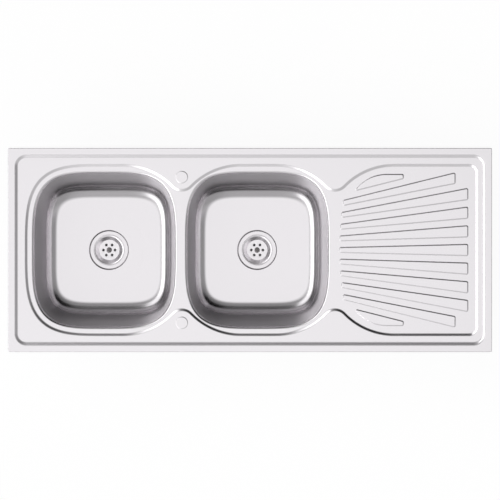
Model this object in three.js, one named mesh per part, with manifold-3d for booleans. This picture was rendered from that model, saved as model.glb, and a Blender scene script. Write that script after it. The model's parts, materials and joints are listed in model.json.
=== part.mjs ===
// Inset kitchen sink with two drawn bowls and a ribbed drainer. Millimetres, +Z up.
// The origin is the middle of the outline, at the height of the worktop surface (z = 0).
// +X runs along the sink towards the drainer, +Y runs towards the back.
import * as THREE from 'three';
import { mergeVertices } from 'three/addons/utils/BufferGeometryUtils.js';
import Module from 'manifold-3d';

// ---- sheet metal and clearances
const sheet = 0.8;
const seatGap = 0.3; // between pieces that touch
const threadGap = 0.35; // around a screw in its hole
const through = 5; // how far a cut runs past the face that it opens

// ---- outline, rim and levels
const sinkLength = 1186;
const sinkWidth = 500;
const rimHeight = 4; // rim top above the worktop
const rimCornerRadius = 3;
const rimEdgeRadius = 1.6;
const borderInset = 20; // outer edge to the middle of the border step
const borderStepWidth = 11;
const borderDrop = 3;
const borderCornerRadius = 25;
const recessStepWidth = 8;
const recessDrop = 3;
const recessSideInset = 42.2; // outer edge to the middle of the recess step, front and back
const recessEndInset = 36.9; // the same at the drainer end
const recessBowlMargin = 18.4; // bowl wall to the recess step, at the left end
const recessCornerRadius = 19;
const recessSquareness = 3.5;

// ---- bowls
const leftBowlX = -357.7;
const bowlSpacing = 375.9;
const bowlLength = 345.8;
const bowlSideMargin = 61; // outer edge to a bowl's wall, front and back
const bowlDepth = 148; // recess level down to the bowl floor
const bowlSquareness = 3.75;
const floorSquareness = 5;
const endWallDraft = 7.2; // degrees
const sideWallDraft = 11.6;
const endFillet = 32;
const sideFillet = 38;
const lipRadius = 6; // bend from the recess into a bowl
const lipDepth = 9; // recess level down to the end of the lip
const weldFlange = 7.5;
const joggleHeight = 2.5; // the wall's step in, below the end of the lip

// ---- islands between the bowls, with their two blanked tap holes
const islandOffset = 190.4; // bowl centre to the island on its right
const islandNoseRadius = 32;
const islandReach = 103.5; // outer edge to the end of the nose
const islandShoulderRadius = 170;
const tapHoleRadius = 14.4;
const tapHoleInset = 71.4; // outer edge to the middle of the blank
const tapHoleRise = 0.9;

// ---- drainer ribs, which fan out from a point under the left bowl
const ribCount = 9;
const ribRise = 2;
const ribStepWidth = 3;
const ribStartX = 201.6; // from the right bowl's centre
const ribStartArc = 721;
const ribFocusX = -309.3; // from the right bowl's centre
const ribSideMargin = 18.6; // outermost rib to the recess step, at the rib's end
const ribStartHalfWidth = 5.9;
const ribHalfWidthGrowth = 0.0248;
const ribEndMargin = 22; // rib end to the recess step
const outerRibShortening = 31.1;
const ribCornerRadius = 3.5;
const leafRibLength = 119.6;
const leafRibStartX = 238.1; // from the right bowl's centre
const leafRibMargin = 22.5; // leaf rib to the recess step
const leafRibCurve = 95;
const leafTipRadius = 2;
const leafRibBackAngle = 47.5; // degrees at the leaf's pointed end

// ---- worktop seal and damping pads
const cutoutInset = 10; // outer edge to the worktop cut-out
const sealHeight = 2.9;
const sealCornerRadius = 5;
const padSize = 196;
const padThickness = 2.4;
const padCornerRadius = 24;
const padHoleMargin = 6;

// ---- waste outlet, shared by both bowls
const floorRecessRadius = 50.9;
const floorRecessDepth = 3.6;
const wasteSeatRadius = 42.5;
const floorHoleRadius = 32.4;
const flangeRadius = 39;
const flangeThickness = 1.2;
const flangeBevel = 0.8;
const dishMouthRadius = 34.6;
const dishBend = 2.4; // from the flange's flat into its dish
const strainerRadius = 25.7;
const strainerDepth = 7.4; // flange top down to the strainer plate
const strainerHoles = 6;
const strainerHoleRadius = 3.1;
const strainerHoleCircle = 14.7;
const screwWellRadius = 7.4;
const screwWellDepth = 2.6;
const gasketInnerRadius = 34.2;
const gasketMargin = 1.5; // flange edge to the gasket's edge
const flangeGasketThickness = 1.5;
const bodyGasketThickness = 2.5;
const cupRadius = 38;
const cupWall = 2.4;
const cupBore = 29;
const cupDepth = 34;
const cupTaper = 8; // height of the cone at the cup's foot
const cupRimHeight = 4; // thick rim at the cup's mouth
const cupRimTaper = 2;
const tailRadius = 20.6;
const tailBore = 17.4;
const tailLength = 26;
const tailCollar = 3; // the cup's foot stands out from the tail
const bossRadius = 6.5;
const bossHeight = 16;
const bossFoot = 2.4; // closed end of the boss, under the screw
const spiderArms = 3;
const spiderThickness = 3;
const spiderHeight = 11.2;
const insertRadius = 4.4;
const insertHeight = 9;
const insertSides = 6;
const wasteScrewRadius = 3;
const wasteScrewHeadRadius = 4.6;
const wasteScrewHeadHeight = 2.2;
const wasteScrewHeadBevel = 0.6;
const wasteScrewEnd = 2; // screw end below the insert
const slotWidth = 1.4;
const slotDepth = 1.1;
const screwPoint = 0.8; // bevel at a screw's end and at the rim of its head

// ---- fixing clips: bracket, screw and swinging claw
const clipsPerSide = 4;
const clipEndInset = 143; // end of the sink to the first clip
const clipInset = 31.5; // outer edge to the screw
const bracketWidth = 12;
const bracketLength = 24;
const bracketFoot = 8;
const bracketHeight = 24;
const bracketSheet = 1.6;
const bracketCollarRadius = 4.6;
const bracketCollarHeight = 2.2;
const bracketCollarTaper = 0.6;
const clipScrewRadius = 2.5;
const clipScrewHeadRadius = 4.6;
const clipScrewHeadHeight = 3;
const clipScrewEngagement = 2.3; // screw end above the bracket's web, at rest
const clipTravel = 20; // worktops from 20 to 40 mm thick
const clawWidth = 12;
const clawSheet = 2;
const clawReach = 30;
const clawHub = 7;
const clawRampStart = 16;
const clawRampEnd = 20;
const clawRampRise = 1.2;
const clawRise = 4.2; // hub top to the teeth
const clawTeeth = 3;
const clawToothDepth = 1.8;

// ---- facets of the round stretches
const bowlSteps = 32; // round a bowl
const wasteSteps = 18; // round a waste piece
const screwSteps = 8; // round a screw or its hole
const bossSteps = 12;
const blankSteps = 18; // round a tap-hole blank
const padHoleSteps = 24;
const cornerSteps = 3; // in a corner of an outline
const smallCornerSteps = 2; // in a corner of a long rib
const largeCornerSteps = 5; // in a corner of the border step
const islandSteps = 5; // round an island's nose
const recessEndSteps = 16; // round the recess's end at the left bowl
const bendSteps = 3; // across a bend of the sheet
const filletRings = [0.65, 0.34, 0.12, 0]; // heights in a bowl's fillet, as shares of it

// ---- derived levels and places
const rightBowlX = leftBowlX + bowlSpacing;
const bowlCentres = { left: leftBowlX, right: rightBowlX };
const halfLength = sinkLength / 2;
const halfWidth = sinkWidth / 2;
const deckLevel = rimHeight - borderDrop;
const recessLevel = deckLevel - recessDrop;
const lipEnd = recessLevel - lipDepth;
const floorLevel = recessLevel - bowlDepth;
const islandCentres = [leftBowlX + islandOffset, rightBowlX + islandOffset];
const bowlWidth = sinkWidth - 2 * bowlSideMargin;
const recessHalfWidth = halfWidth - recessSideInset;
const recessRight = halfLength - recessEndInset;
const bowlShift = sheet + seatGap; // the bowls sit outside the lips
const wasteScrewBore = wasteScrewRadius + threadGap;
const clipScrewBore = clipScrewRadius + threadGap;
const clipSpacing = (sinkLength - 2 * clipEndInset) / (clipsPerSide - 1);

// How far each rib moves sideways from its neighbour per mm of run, which puts the outermost
// rib's end beside the recess step.
const middleRib = (ribCount - 1) / 2;
const outerRibEnd = recessRight - ribEndMargin - outerRibShortening - rightBowlX;
const outerRibHalfWidth = ribStartHalfWidth + ribHalfWidthGrowth * (outerRibEnd - ribStartX);
const outerRibY = recessHalfWidth - ribSideMargin - outerRibHalfWidth;
const ribFanSlope = outerRibY / (middleRib * (outerRibEnd - ribFocusX));

// ---- outlines, as counter-clockwise lists of 2D points

function arcPoints(cx, cy, radius, fromDegrees, toDegrees, steps) {
  const points = [];
  for (let i = 0; i <= steps; i++) {
    const angle = THREE.MathUtils.degToRad(fromDegrees + ((toDegrees - fromDegrees) * i) / steps);
    points.push(new THREE.Vector2(cx + radius * Math.cos(angle), cy + radius * Math.sin(angle)));
  }
  return points;
}

function circle(cx, cy, radius, steps) {
  return arcPoints(cx, cy, radius, 0, 360, steps).slice(0, steps);
}

function superellipse(cx, cy, a, b, squareness, steps, from = 0, to = 360) {
  const power = 2 / squareness;
  const points = [];
  for (let i = 0; i <= steps; i++) {
    const angle = THREE.MathUtils.degToRad(from + ((to - from) * i) / steps);
    const c = Math.cos(angle);
    const s = Math.sin(angle);
    const x = cx + a * Math.sign(c) * Math.abs(c) ** power;
    const y = cy + b * Math.sign(s) * Math.abs(s) ** power;
    points.push(new THREE.Vector2(x, y));
  }
  return to - from === 360 ? points.slice(0, steps) : points;
}

// A convex polygon grown by `offset`, with each corner rounded to its own radius. Grown
// outlines keep the same centres and the same count of points, so they can be lofted.
function roundedPolygon(corners, radii, offset, steps) {
  const count = corners.length;
  const points = [];
  for (let i = 0; i < count; i++) {
    const before = corners[(i + count - 1) % count];
    const corner = corners[i];
    const after = corners[(i + 1) % count];
    const incoming = corner.clone().sub(before).normalize();
    const outgoing = after.clone().sub(corner).normalize();
    const turn = Math.atan2(incoming.cross(outgoing), incoming.dot(outgoing));
    const tangent = radii[i] * Math.tan(turn / 2);
    const normal = new THREE.Vector2(-incoming.y, incoming.x);
    const centre = corner.clone();
    centre.addScaledVector(incoming, -tangent);
    centre.addScaledVector(normal, radii[i]);
    const start = THREE.MathUtils.radToDeg(Math.atan2(-normal.y, -normal.x));
    const sweep = THREE.MathUtils.radToDeg(turn);
    points.push(...arcPoints(centre.x, centre.y, radii[i] + offset, start, start + sweep, steps));
  }
  return points;
}

function roundedRectangle(halfX, halfY, radius, offset, steps) {
  const corners = [[1, -1], [1, 1], [-1, 1], [-1, -1]];
  const points = corners.map(([x, y]) => new THREE.Vector2(x * halfX, y * halfY));
  return roundedPolygon(points, [radius, radius, radius, radius], offset, steps);
}

function mirrored(points) {
  return points.map((p) => new THREE.Vector2(p.x, -p.y)).reverse();
}

// The outline of the recess round the bowls and drainer: rounded like the left bowl at one
// end, square at the other, and drawn in front and back by the two islands.
function recessOutline(offset) {
  const noseY = halfWidth - islandReach + islandNoseRadius;
  const shoulderY = recessHalfWidth - islandShoulderRadius;
  const reach = islandShoulderRadius + islandNoseRadius;
  const shoulderX = Math.sqrt(reach ** 2 - (noseY - shoulderY) ** 2);
  const slant = THREE.MathUtils.radToDeg(Math.acos(shoulderX / reach));
  const shoulder = islandShoulderRadius + offset;
  const nose = islandNoseRadius - offset;
  const back = [];
  const cornerX = recessRight - recessCornerRadius;
  const cornerY = recessHalfWidth - recessCornerRadius;
  back.push(...arcPoints(cornerX, cornerY, recessCornerRadius + offset, 0, 90, cornerSteps + 1));
  for (const x of [...islandCentres].reverse()) {
    back.push(...arcPoints(x + shoulderX, shoulderY, shoulder, 90, 180 - slant, islandSteps - 1));
    back.push(...arcPoints(x, noseY, nose, -slant, slant - 180, islandSteps).slice(1));
    back.push(...arcPoints(x - shoulderX, shoulderY, shoulder, slant, 90, islandSteps - 1).slice(1));
  }
  const a = bowlLength / 2 + recessBowlMargin + offset;
  const b = recessHalfWidth + offset;
  const end = superellipse(leftBowlX, 0, a, b, recessSquareness, recessEndSteps, 90, 270);
  return [...back, ...end, ...mirrored(back)];
}

// ---- solids

// Joins rings of equal counts into one closed surface. An open stack is capped at both ends,
// a closed one returns to its first ring.
function loft(rings, closed = false) {
  const count = rings[0].length;
  const positions = rings.flat().flatMap((p) => [p.x, p.y, p.z]);
  const index = [];
  const bands = closed ? rings.length : rings.length - 1;
  for (let r = 0; r < bands; r++) {
    const next = (r + 1) % rings.length;
    for (let i = 0; i < count; i++) {
      const j = (i + 1) % count;
      const a = r * count + i;
      const b = r * count + j;
      const c = next * count + j;
      const d = next * count + i;
      index.push(a, b, c, a, c, d);
    }
  }
  if (!closed) {
    const top = (rings.length - 1) * count;
    for (const [a, b, c] of THREE.ShapeUtils.triangulateShape(rings[0], [])) index.push(a, c, b);
    for (const [a, b, c] of THREE.ShapeUtils.triangulateShape(rings.at(-1), [])) {
      index.push(top + a, top + b, top + c);
    }
  }
  const geometry = new THREE.BufferGeometry();
  geometry.setAttribute('position', new THREE.Float32BufferAttribute(positions, 3));
  geometry.setIndex(index);
  return geometry;
}

function ringAt(outline, z) {
  return outline.map((p) => new THREE.Vector3(p.x, p.y, z));
}

// A plate with straight sides between two heights, with optional round or other holes.
function plate(outline, z0, z1, holes = []) {
  const shape = new THREE.Shape(outline);
  shape.holes = holes.map((hole) => new THREE.Path(hole));
  const geometry = new THREE.ExtrudeGeometry(shape, { depth: z1 - z0, bevelEnabled: false });
  return geometry.translate(0, 0, z0);
}

// A cylinder along Z, with its middle at the origin.
function rod(radius, height, steps) {
  return new THREE.CylinderGeometry(radius, radius, height, steps).rotateX(Math.PI / 2);
}

// A turned solid about +Z from [radius, z] pairs that run up its outer side.
function turned(profile, steps) {
  const points = profile.map(([r, z]) => new THREE.Vector2(r, z));
  const closed = [...points, points[0].clone()];
  return new THREE.LatheGeometry(closed, steps).rotateX(Math.PI / 2);
}

const wasm = await Module();
wasm.setup();

function solid(geometry) {
  const bare = geometry.clone();
  bare.deleteAttribute('normal');
  bare.deleteAttribute('uv');
  const merged = mergeVertices(bare, 1e-4);
  const vertProperties = new Float32Array(merged.attributes.position.array);
  const triVerts = new Uint32Array(merged.index.array);
  return new wasm.Manifold(new wasm.Mesh({ numProp: 3, vertProperties, triVerts }));
}

function surface(body) {
  const { vertProperties, triVerts } = body.getMesh();
  const geometry = new THREE.BufferGeometry();
  geometry.setAttribute('position', new THREE.Float32BufferAttribute(vertProperties, 3));
  geometry.setIndex([...triVerts]);
  return geometry;
}

function cutFrom(base, tools) {
  return tools.reduce((body, tool) => body.subtract(solid(tool)), base);
}

function joinTo(base, additions) {
  return additions.reduce((body, part) => body.add(solid(part)), base);
}

// ---- drainer deck

// The rings of a pressed step: an S-shaped slope from `low` to `high`, centred on the
// outline with offset 0. `side` is 1 where the outline grows on the way up, else -1.
function stepRings(outlineAt, width, low, high, side, steps) {
  const rings = [];
  for (let i = 0; i <= steps; i++) {
    const u = i / steps;
    const z = low + (high - low) * THREE.MathUtils.smoothstep(u, 0, 1);
    rings.push(ringAt(outlineAt(side * width * (u - 0.5)), z));
  }
  return rings;
}

function pocket(outlineAt, width, low, high) {
  const rings = stepRings(outlineAt, width, low, high, 1, bendSteps);
  rings.push(ringAt(outlineAt(width / 2), high + through));
  return loft(rings);
}

function raised(outlineAt, width, low, high) {
  const rings = stepRings(outlineAt, width, low, high, -1, 1);
  rings.unshift(ringAt(outlineAt(width / 2), low - sheet / 2));
  return loft(rings);
}

function ribOutline(k) {
  const sideways = (x) => k * ribFanSlope * (x - rightBowlX - ribFocusX);
  const spread = (x) => ribStartHalfWidth + ribHalfWidthGrowth * (x - rightBowlX - ribStartX);
  const atStart = sideways(rightBowlX + ribStartX);
  const x0 = rightBowlX + ribStartX + atStart ** 2 / (2 * ribStartArc);
  const outermost = Math.abs(k) === middleRib;
  const x1 = recessRight - ribEndMargin - (outermost ? outerRibShortening : 0);
  const corners = [
    new THREE.Vector2(x0, sideways(x0) - spread(x0)),
    new THREE.Vector2(x1, sideways(x1) - spread(x1)),
    new THREE.Vector2(x1, sideways(x1) + spread(x1)),
    new THREE.Vector2(x0, sideways(x0) + spread(x0)),
  ];
  const radii = corners.map(() => ribCornerRadius);
  return (offset) => roundedPolygon(corners, radii, offset, smallCornerSteps);
}

// The short rib outside the fan at the back: its inner side follows the fan, its outer side
// bends round the island and then runs along the recess step.
function leafOutline() {
  const k = middleRib + 1;
  const inner = (x) =>
    (k * ribFanSlope - ribHalfWidthGrowth) * (x - rightBowlX - ribStartX) +
    k * ribFanSlope * (ribStartX - ribFocusX) - ribStartHalfWidth;
  const x0 = rightBowlX + leafRibStartX;
  const x1 = x0 + leafRibLength;
  const outerY = recessHalfWidth - leafRibMargin;
  const run = (outerY - inner(x0)) / Math.tan(THREE.MathUtils.degToRad(leafRibBackAngle));
  const corners = [
    new THREE.Vector2(x0, inner(x0)),
    new THREE.Vector2(x1, inner(x1)),
    new THREE.Vector2(x1, outerY),
    new THREE.Vector2(x0 + run, outerY),
  ];
  const radii = [leafTipRadius, ribCornerRadius, ribCornerRadius, leafRibCurve];
  return (offset) => roundedPolygon(corners, radii, offset, cornerSteps + 1);
}

function bowlOutline(centre, offset) {
  const a = bowlLength / 2 + offset;
  const b = bowlWidth / 2 + offset;
  return superellipse(centre, 0, a, b, bowlSquareness, bowlSteps);
}

// How far a drawn wall has come in at a height above the bowl's floor. `grow` is the distance
// outwards from the inner side of the sheet.
function wallInset(height, draft, fillet, grow) {
  const lean = THREE.MathUtils.degToRad(draft);
  const slope = Math.tan(lean);
  const radius = fillet + grow;
  const wallHeight = bowlDepth - lipRadius - fillet * (1 - Math.sin(lean));
  const footInset = wallHeight * slope + fillet * Math.cos(lean);
  const tangent = fillet - radius * Math.sin(lean);
  if (height >= tangent) return (bowlDepth - lipRadius - height) * slope - grow / Math.cos(lean);
  return footInset - Math.sqrt(Math.max(radius ** 2 - (fillet - height) ** 2, 0));
}

// A level ring of a bowl's wall. `shift` moves it clear of what it is nested in.
function wallRing(centre, height, grow, shift) {
  const a = bowlLength / 2 + shift - wallInset(height, endWallDraft, endFillet, grow);
  const b = bowlWidth / 2 + shift - wallInset(height, sideWallDraft, sideFillet, grow);
  const share = THREE.MathUtils.clamp(height / (bowlDepth - lipRadius), 0, 1);
  const squareness = THREE.MathUtils.lerp(floorSquareness, bowlSquareness, Math.sqrt(share));
  return ringAt(superellipse(centre, 0, a, b, squareness, bowlSteps), floorLevel + height);
}

// The space inside a bowl's lip, `depth` below the upper side of the sheet.
function lipPlug(centre, depth) {
  const radius = lipRadius - depth;
  const rings = [wallRing(centre, lipEnd - through - floorLevel, depth, 0)];
  rings.push(wallRing(centre, bowlDepth - lipRadius, depth, 0));
  for (let i = 1; i <= bendSteps; i++) {
    const angle = (Math.PI / 2) * (i / bendSteps);
    const outline = bowlOutline(centre, lipRadius - radius * Math.cos(angle));
    rings.push(ringAt(outline, recessLevel - lipRadius + radius * Math.sin(angle)));
  }
  rings.push(ringAt(bowlOutline(centre, lipRadius), recessLevel + through));
  return loft(rings);
}

// Everything under the deck's sheet, seen `depth` below its upper side. The deck is what is
// left of this body at depth 0 after the same body at one sheet's depth is taken away.
function underDeck(depth, bottom, lipBottom) {
  const edge = rimEdgeRadius - depth;
  const rim = (offset) => roundedRectangle(halfLength, halfWidth, rimCornerRadius, offset, cornerSteps);
  const rings = [ringAt(rim(-depth), bottom)];
  for (let i = 0; i <= bendSteps; i++) {
    const angle = (Math.PI / 2) * (i / bendSteps);
    const inset = rimEdgeRadius - edge * Math.cos(angle);
    rings.push(ringAt(rim(-inset), rimHeight - rimEdgeRadius + edge * Math.sin(angle)));
  }
  const halfX = halfLength - borderInset;
  const halfY = halfWidth - borderInset;
  const border = (offset) => roundedRectangle(halfX, halfY, borderCornerRadius, offset, largeCornerSteps);
  const deck = deckLevel - depth;
  const recess = recessLevel - depth;
  const slab = joinTo(solid(loft(rings)), [plate(border(0), lipBottom, deckLevel - sheet)]);
  const pressed = cutFrom(slab, [
    pocket(border, borderStepWidth, deck, rimHeight - depth),
    pocket(recessOutline, recessStepWidth, recess, deck),
  ]);
  const leaf = leafOutline();
  const ribs = [leaf, (offset) => mirrored(leaf(offset))];
  for (let k = -middleRib; k <= middleRib; k++) ribs.push(ribOutline(k));
  const reliefs = ribs.map((rib) => raised(rib, ribStepWidth, recess, recess + ribRise));
  for (const side of [1, -1]) {
    const y = side * (halfWidth - tapHoleInset);
    const blank = (offset) => circle(islandCentres[0], y, tapHoleRadius + offset, blankSteps);
    reliefs.push(raised(blank, 2 * tapHoleRise, deck, deck + tapHoleRise));
  }
  const plugs = Object.values(bowlCentres).map((x) => lipPlug(x, depth));
  return cutFrom(joinTo(pressed, reliefs), plugs);
}

function drainerDeck() {
  const upper = underDeck(0, 0, lipEnd);
  const lower = underDeck(sheet, lipEnd - through, lipEnd - through);
  return surface(upper.subtract(lower));
}

// ---- bowls

function bowlShell(centre) {
  const rings = [];
  const bendTop = recessLevel - bowlShift;
  const bendLevel = recessLevel - lipRadius;
  const facing = lipRadius - bowlShift;
  const joggleTop = lipEnd - seatGap - floorLevel;
  const bend = (radius, share) => {
    const angle = (Math.PI / 2) * share;
    const offset = lipRadius - radius * Math.cos(angle);
    return ringAt(bowlOutline(centre, offset), bendLevel + radius * Math.sin(angle));
  };
  rings.push(ringAt(bowlOutline(centre, lipRadius + weldFlange), bendTop));
  for (let i = bendSteps; i > 0; i--) rings.push(bend(facing, i / bendSteps));
  const nested = (grow) => [
    wallRing(centre, bowlDepth - lipRadius, grow, bowlShift),
    wallRing(centre, joggleTop, grow, bowlShift),
    wallRing(centre, joggleTop - joggleHeight, grow, 0),
  ];
  rings.push(...nested(0));
  for (const share of filletRings) rings.push(wallRing(centre, share * sideFillet, 0, 0));
  const dished = [
    [floorRecessRadius, 0],
    [wasteSeatRadius, -floorRecessDepth],
    [floorHoleRadius, -floorRecessDepth],
  ];
  for (const [r, z] of dished) rings.push(ringAt(circle(centre, 0, r, bowlSteps), floorLevel + z));
  for (const [r, z] of dished.reverse()) {
    rings.push(ringAt(circle(centre, 0, r, bowlSteps), floorLevel + z - sheet));
  }
  for (const share of [...filletRings].reverse()) {
    rings.push(wallRing(centre, share ? share * sideFillet : -sheet, sheet, 0));
  }
  rings.push(...nested(sheet).reverse());
  for (let i = 1; i <= bendSteps; i++) rings.push(bend(facing - sheet, i / bendSteps));
  rings.push(ringAt(bowlOutline(centre, lipRadius + weldFlange), bendTop - sheet));
  return loft(rings, true);
}

function dampingPad(centre) {
  const hole = circle(0, 0, floorRecessRadius + padHoleMargin, padHoleSteps);
  const outline = roundedRectangle(padSize / 2, padSize / 2, padCornerRadius, 0, largeCornerSteps);
  const top = floorLevel - sheet - seatGap;
  return plate(outline, top - padThickness, top, [hole]).translate(centre, 0, 0);
}

function rimSeal() {
  const halfX = halfLength - cutoutInset;
  const halfY = halfWidth - cutoutInset;
  const outer = roundedRectangle(halfLength, halfWidth, rimCornerRadius, -rimEdgeRadius, cornerSteps);
  const inner = roundedRectangle(halfX, halfY, sealCornerRadius, 0, cornerSteps);
  return plate(outer, 0, sealHeight, [inner]);
}

// ---- waste outlet, about its own axis at the origin, stacked from the bowl's floor

const seatLevel = floorLevel - floorRecessDepth;
const flangeUnderside = seatLevel + flangeGasketThickness + 2 * seatGap;
const flangeTop = flangeUnderside + flangeThickness;
const strainerTop = flangeTop - strainerDepth;
const bodyTop = seatLevel - sheet - bodyGasketThickness - 2 * seatGap;
const cupBottom = bodyTop - cupDepth;
const tailEnd = cupBottom - tailLength;
const bossTop = bodyTop - cupDepth / 2 + bossHeight / 2;
const insertTop = bossTop - seatGap;

function strainerFlange() {
  const wellFloor = strainerTop - screwWellDepth;
  const slope = (dishMouthRadius - dishBend - strainerRadius) / (strainerDepth - dishBend / 2);
  const wall = flangeThickness * Math.hypot(1, slope); // thickness of the cone, measured level
  const coneOutside = (z) => strainerRadius + slope * (z - strainerTop) + wall;
  const plateUnderside = strainerTop - flangeThickness;
  const profile = [
    [0, wellFloor - flangeThickness],
    [wasteScrewHeadRadius, wellFloor - flangeThickness],
    [screwWellRadius, plateUnderside],
    [coneOutside(plateUnderside), plateUnderside],
    [coneOutside(flangeUnderside), flangeUnderside],
    [flangeRadius - flangeBevel, flangeUnderside],
    [flangeRadius, flangeUnderside + flangeBevel / 2],
    [flangeRadius - flangeBevel, flangeTop],
    [dishMouthRadius, flangeTop],
    [dishMouthRadius - dishBend, flangeTop - dishBend / 2],
    [strainerRadius, strainerTop],
    [screwWellRadius, strainerTop],
    [wasteScrewHeadRadius, wellFloor],
    [0, wellFloor],
  ];
  const cutHeight = 4 * flangeThickness;
  const holes = [rod(wasteScrewBore, cutHeight, screwSteps).translate(0, 0, wellFloor)];
  for (let i = 0; i < strainerHoles; i++) {
    const angle = (2 * Math.PI * i) / strainerHoles;
    const x = strainerHoleCircle * Math.cos(angle);
    const y = strainerHoleCircle * Math.sin(angle);
    holes.push(rod(strainerHoleRadius, cutHeight, screwSteps).translate(x, y, strainerTop));
  }
  return surface(cutFrom(solid(turned(profile, wasteSteps)), holes));
}

function flatRing(inner, outer, z0, z1) {
  return turned([[inner, z0], [outer, z0], [outer, z1], [inner, z1]], wasteSteps);
}

function flangeGasket() {
  const bottom = seatLevel + seatGap;
  return flatRing(gasketInnerRadius, flangeRadius - gasketMargin, bottom, bottom + flangeGasketThickness);
}

function bodyGasket() {
  const bottom = bodyTop + seatGap;
  return flatRing(gasketInnerRadius, cupRadius, bottom, bottom + bodyGasketThickness);
}

// The cup under the bowl, with a boss for the centre screw on arms that stand between the
// strainer's holes, and a tail for the trap.
function wasteBody() {
  const cupOuter = cupBore + cupWall;
  const profile = [
    [tailBore, tailEnd],
    [tailRadius, tailEnd],
    [tailRadius, cupBottom - cupWall],
    [tailRadius + tailCollar, cupBottom - cupWall],
    [cupOuter, cupBottom + cupTaper],
    [cupOuter, bodyTop - cupRimHeight - cupRimTaper],
    [cupRadius, bodyTop - cupRimHeight],
    [cupRadius, bodyTop],
    [cupBore, bodyTop],
    [cupBore, cupBottom + cupTaper],
    [tailRadius, cupBottom],
    [tailBore, cupBottom - cupWall],
  ];
  const bossMiddle = bossTop - bossHeight / 2;
  const parts = [rod(bossRadius, bossHeight, bossSteps).translate(0, 0, bossMiddle)];
  const length = cupBore + cupWall / 2;
  for (let i = 0; i < spiderArms; i++) {
    const arm = new THREE.BoxGeometry(length, spiderThickness, spiderHeight);
    const angle = (2 * Math.PI * i) / spiderArms + Math.PI / strainerHoles;
    parts.push(arm.translate(length / 2, 0, bossMiddle).rotateZ(angle));
  }
  const socket = rod(insertRadius + seatGap, 2 * (insertHeight + 2 * seatGap), insertSides);
  const bore = rod(wasteScrewBore, 2 * (bossHeight - bossFoot), screwSteps);
  const cuts = [socket.translate(0, 0, bossTop), bore.translate(0, 0, bossTop)];
  return surface(cutFrom(joinTo(solid(turned(profile, wasteSteps)), parts), cuts));
}

// The brass insert in the boss, which takes the centre screw.
function wasteInsert() {
  const body = solid(rod(insertRadius, insertHeight, insertSides));
  const drilled = surface(cutFrom(body, [rod(wasteScrewBore, 2 * insertHeight, screwSteps)]));
  return drilled.translate(0, 0, insertTop - insertHeight / 2);
}

// A turned screw with a slot across its head.
function slottedScrew(profile, slotLevel, headRadius) {
  const slot = new THREE.BoxGeometry(3 * headRadius, slotWidth, 2 * slotDepth);
  const cuts = [slot.translate(0, 0, slotLevel)];
  return surface(cutFrom(solid(turned(profile, screwSteps)), cuts));
}

function wasteScrew() {
  const end = insertTop - insertHeight - wasteScrewEnd;
  const under = strainerTop - screwWellDepth + seatGap;
  const top = under + wasteScrewHeadHeight;
  const profile = [
    [0, end],
    [wasteScrewRadius - screwPoint, end],
    [wasteScrewRadius, end + screwPoint],
    [wasteScrewRadius, under],
    [wasteScrewHeadRadius - wasteScrewHeadBevel, under],
    [wasteScrewHeadRadius - wasteScrewHeadBevel / 2, top - wasteScrewHeadBevel],
    [wasteScrewHeadRadius - 2 * wasteScrewHeadBevel, top],
    [0, top],
  ];
  return slottedScrew(profile, top, wasteScrewHeadRadius);
}

// ---- fixing clips, with the screw's axis at the origin and the claw folded along +X

const bracketTop = deckLevel - sheet - seatGap;
const webTop = bracketTop - bracketHeight + bracketSheet;
const webBottom = bracketTop - bracketHeight;
const clipScrewEnd = webTop + clipScrewEngagement;
const clawTop = webBottom - seatGap - clipTravel; // hub top, at rest
const clipHeadTop = clawTop - clawSheet - seatGap;

// A folded strip, extruded across its width, from the corner points of its upper side.
function foldedStrip(profile, width) {
  const shape = new THREE.Shape(profile.map(([x, z]) => new THREE.Vector2(x, z)));
  const geometry = new THREE.ExtrudeGeometry(shape, { depth: width, bevelEnabled: false });
  return geometry.translate(0, 0, -width / 2).rotateX(Math.PI / 2);
}

function clipBracket() {
  const inner = bracketLength / 2 - bracketSheet;
  const outer = bracketLength / 2;
  const toe = outer + bracketFoot;
  const bend = bracketSheet;
  const half = [
    [outer - bend, webBottom],
    [outer, webBottom + bend],
    [outer, bracketTop - bracketSheet],
    [toe, bracketTop - bracketSheet],
    [toe, bracketTop],
    [inner + bend, bracketTop],
    [inner, bracketTop - bend],
    [inner, webTop],
  ];
  const otherHalf = half.map(([x, z]) => [-x, z]).reverse();
  const collarRoot = bracketSheet / 2;
  const collarTop = bracketCollarRadius - bracketCollarTaper;
  const collarHeight = bracketCollarHeight + collarRoot;
  const collar = new THREE.CylinderGeometry(collarTop, bracketCollarRadius, collarHeight, screwSteps);
  collar.rotateX(Math.PI / 2).translate(0, 0, webTop - collarRoot + collarHeight / 2);
  const strip = solid(foldedStrip([...half, ...otherHalf], bracketWidth));
  const hole = rod(clipScrewBore, bracketHeight, screwSteps).translate(0, 0, webBottom);
  return surface(cutFrom(joinTo(strip, [collar]), [hole]));
}

function clipScrew() {
  const bottom = clipHeadTop - clipScrewHeadHeight;
  const profile = [
    [0, bottom],
    [clipScrewHeadRadius - screwPoint, bottom],
    [clipScrewHeadRadius, bottom + screwPoint],
    [clipScrewHeadRadius, clipHeadTop],
    [clipScrewRadius, clipHeadTop],
    [clipScrewRadius, clipScrewEnd - screwPoint],
    [clipScrewRadius - screwPoint, clipScrewEnd],
    [0, clipScrewEnd],
  ];
  return slottedScrew(profile, bottom, clipScrewHeadRadius);
}

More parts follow.
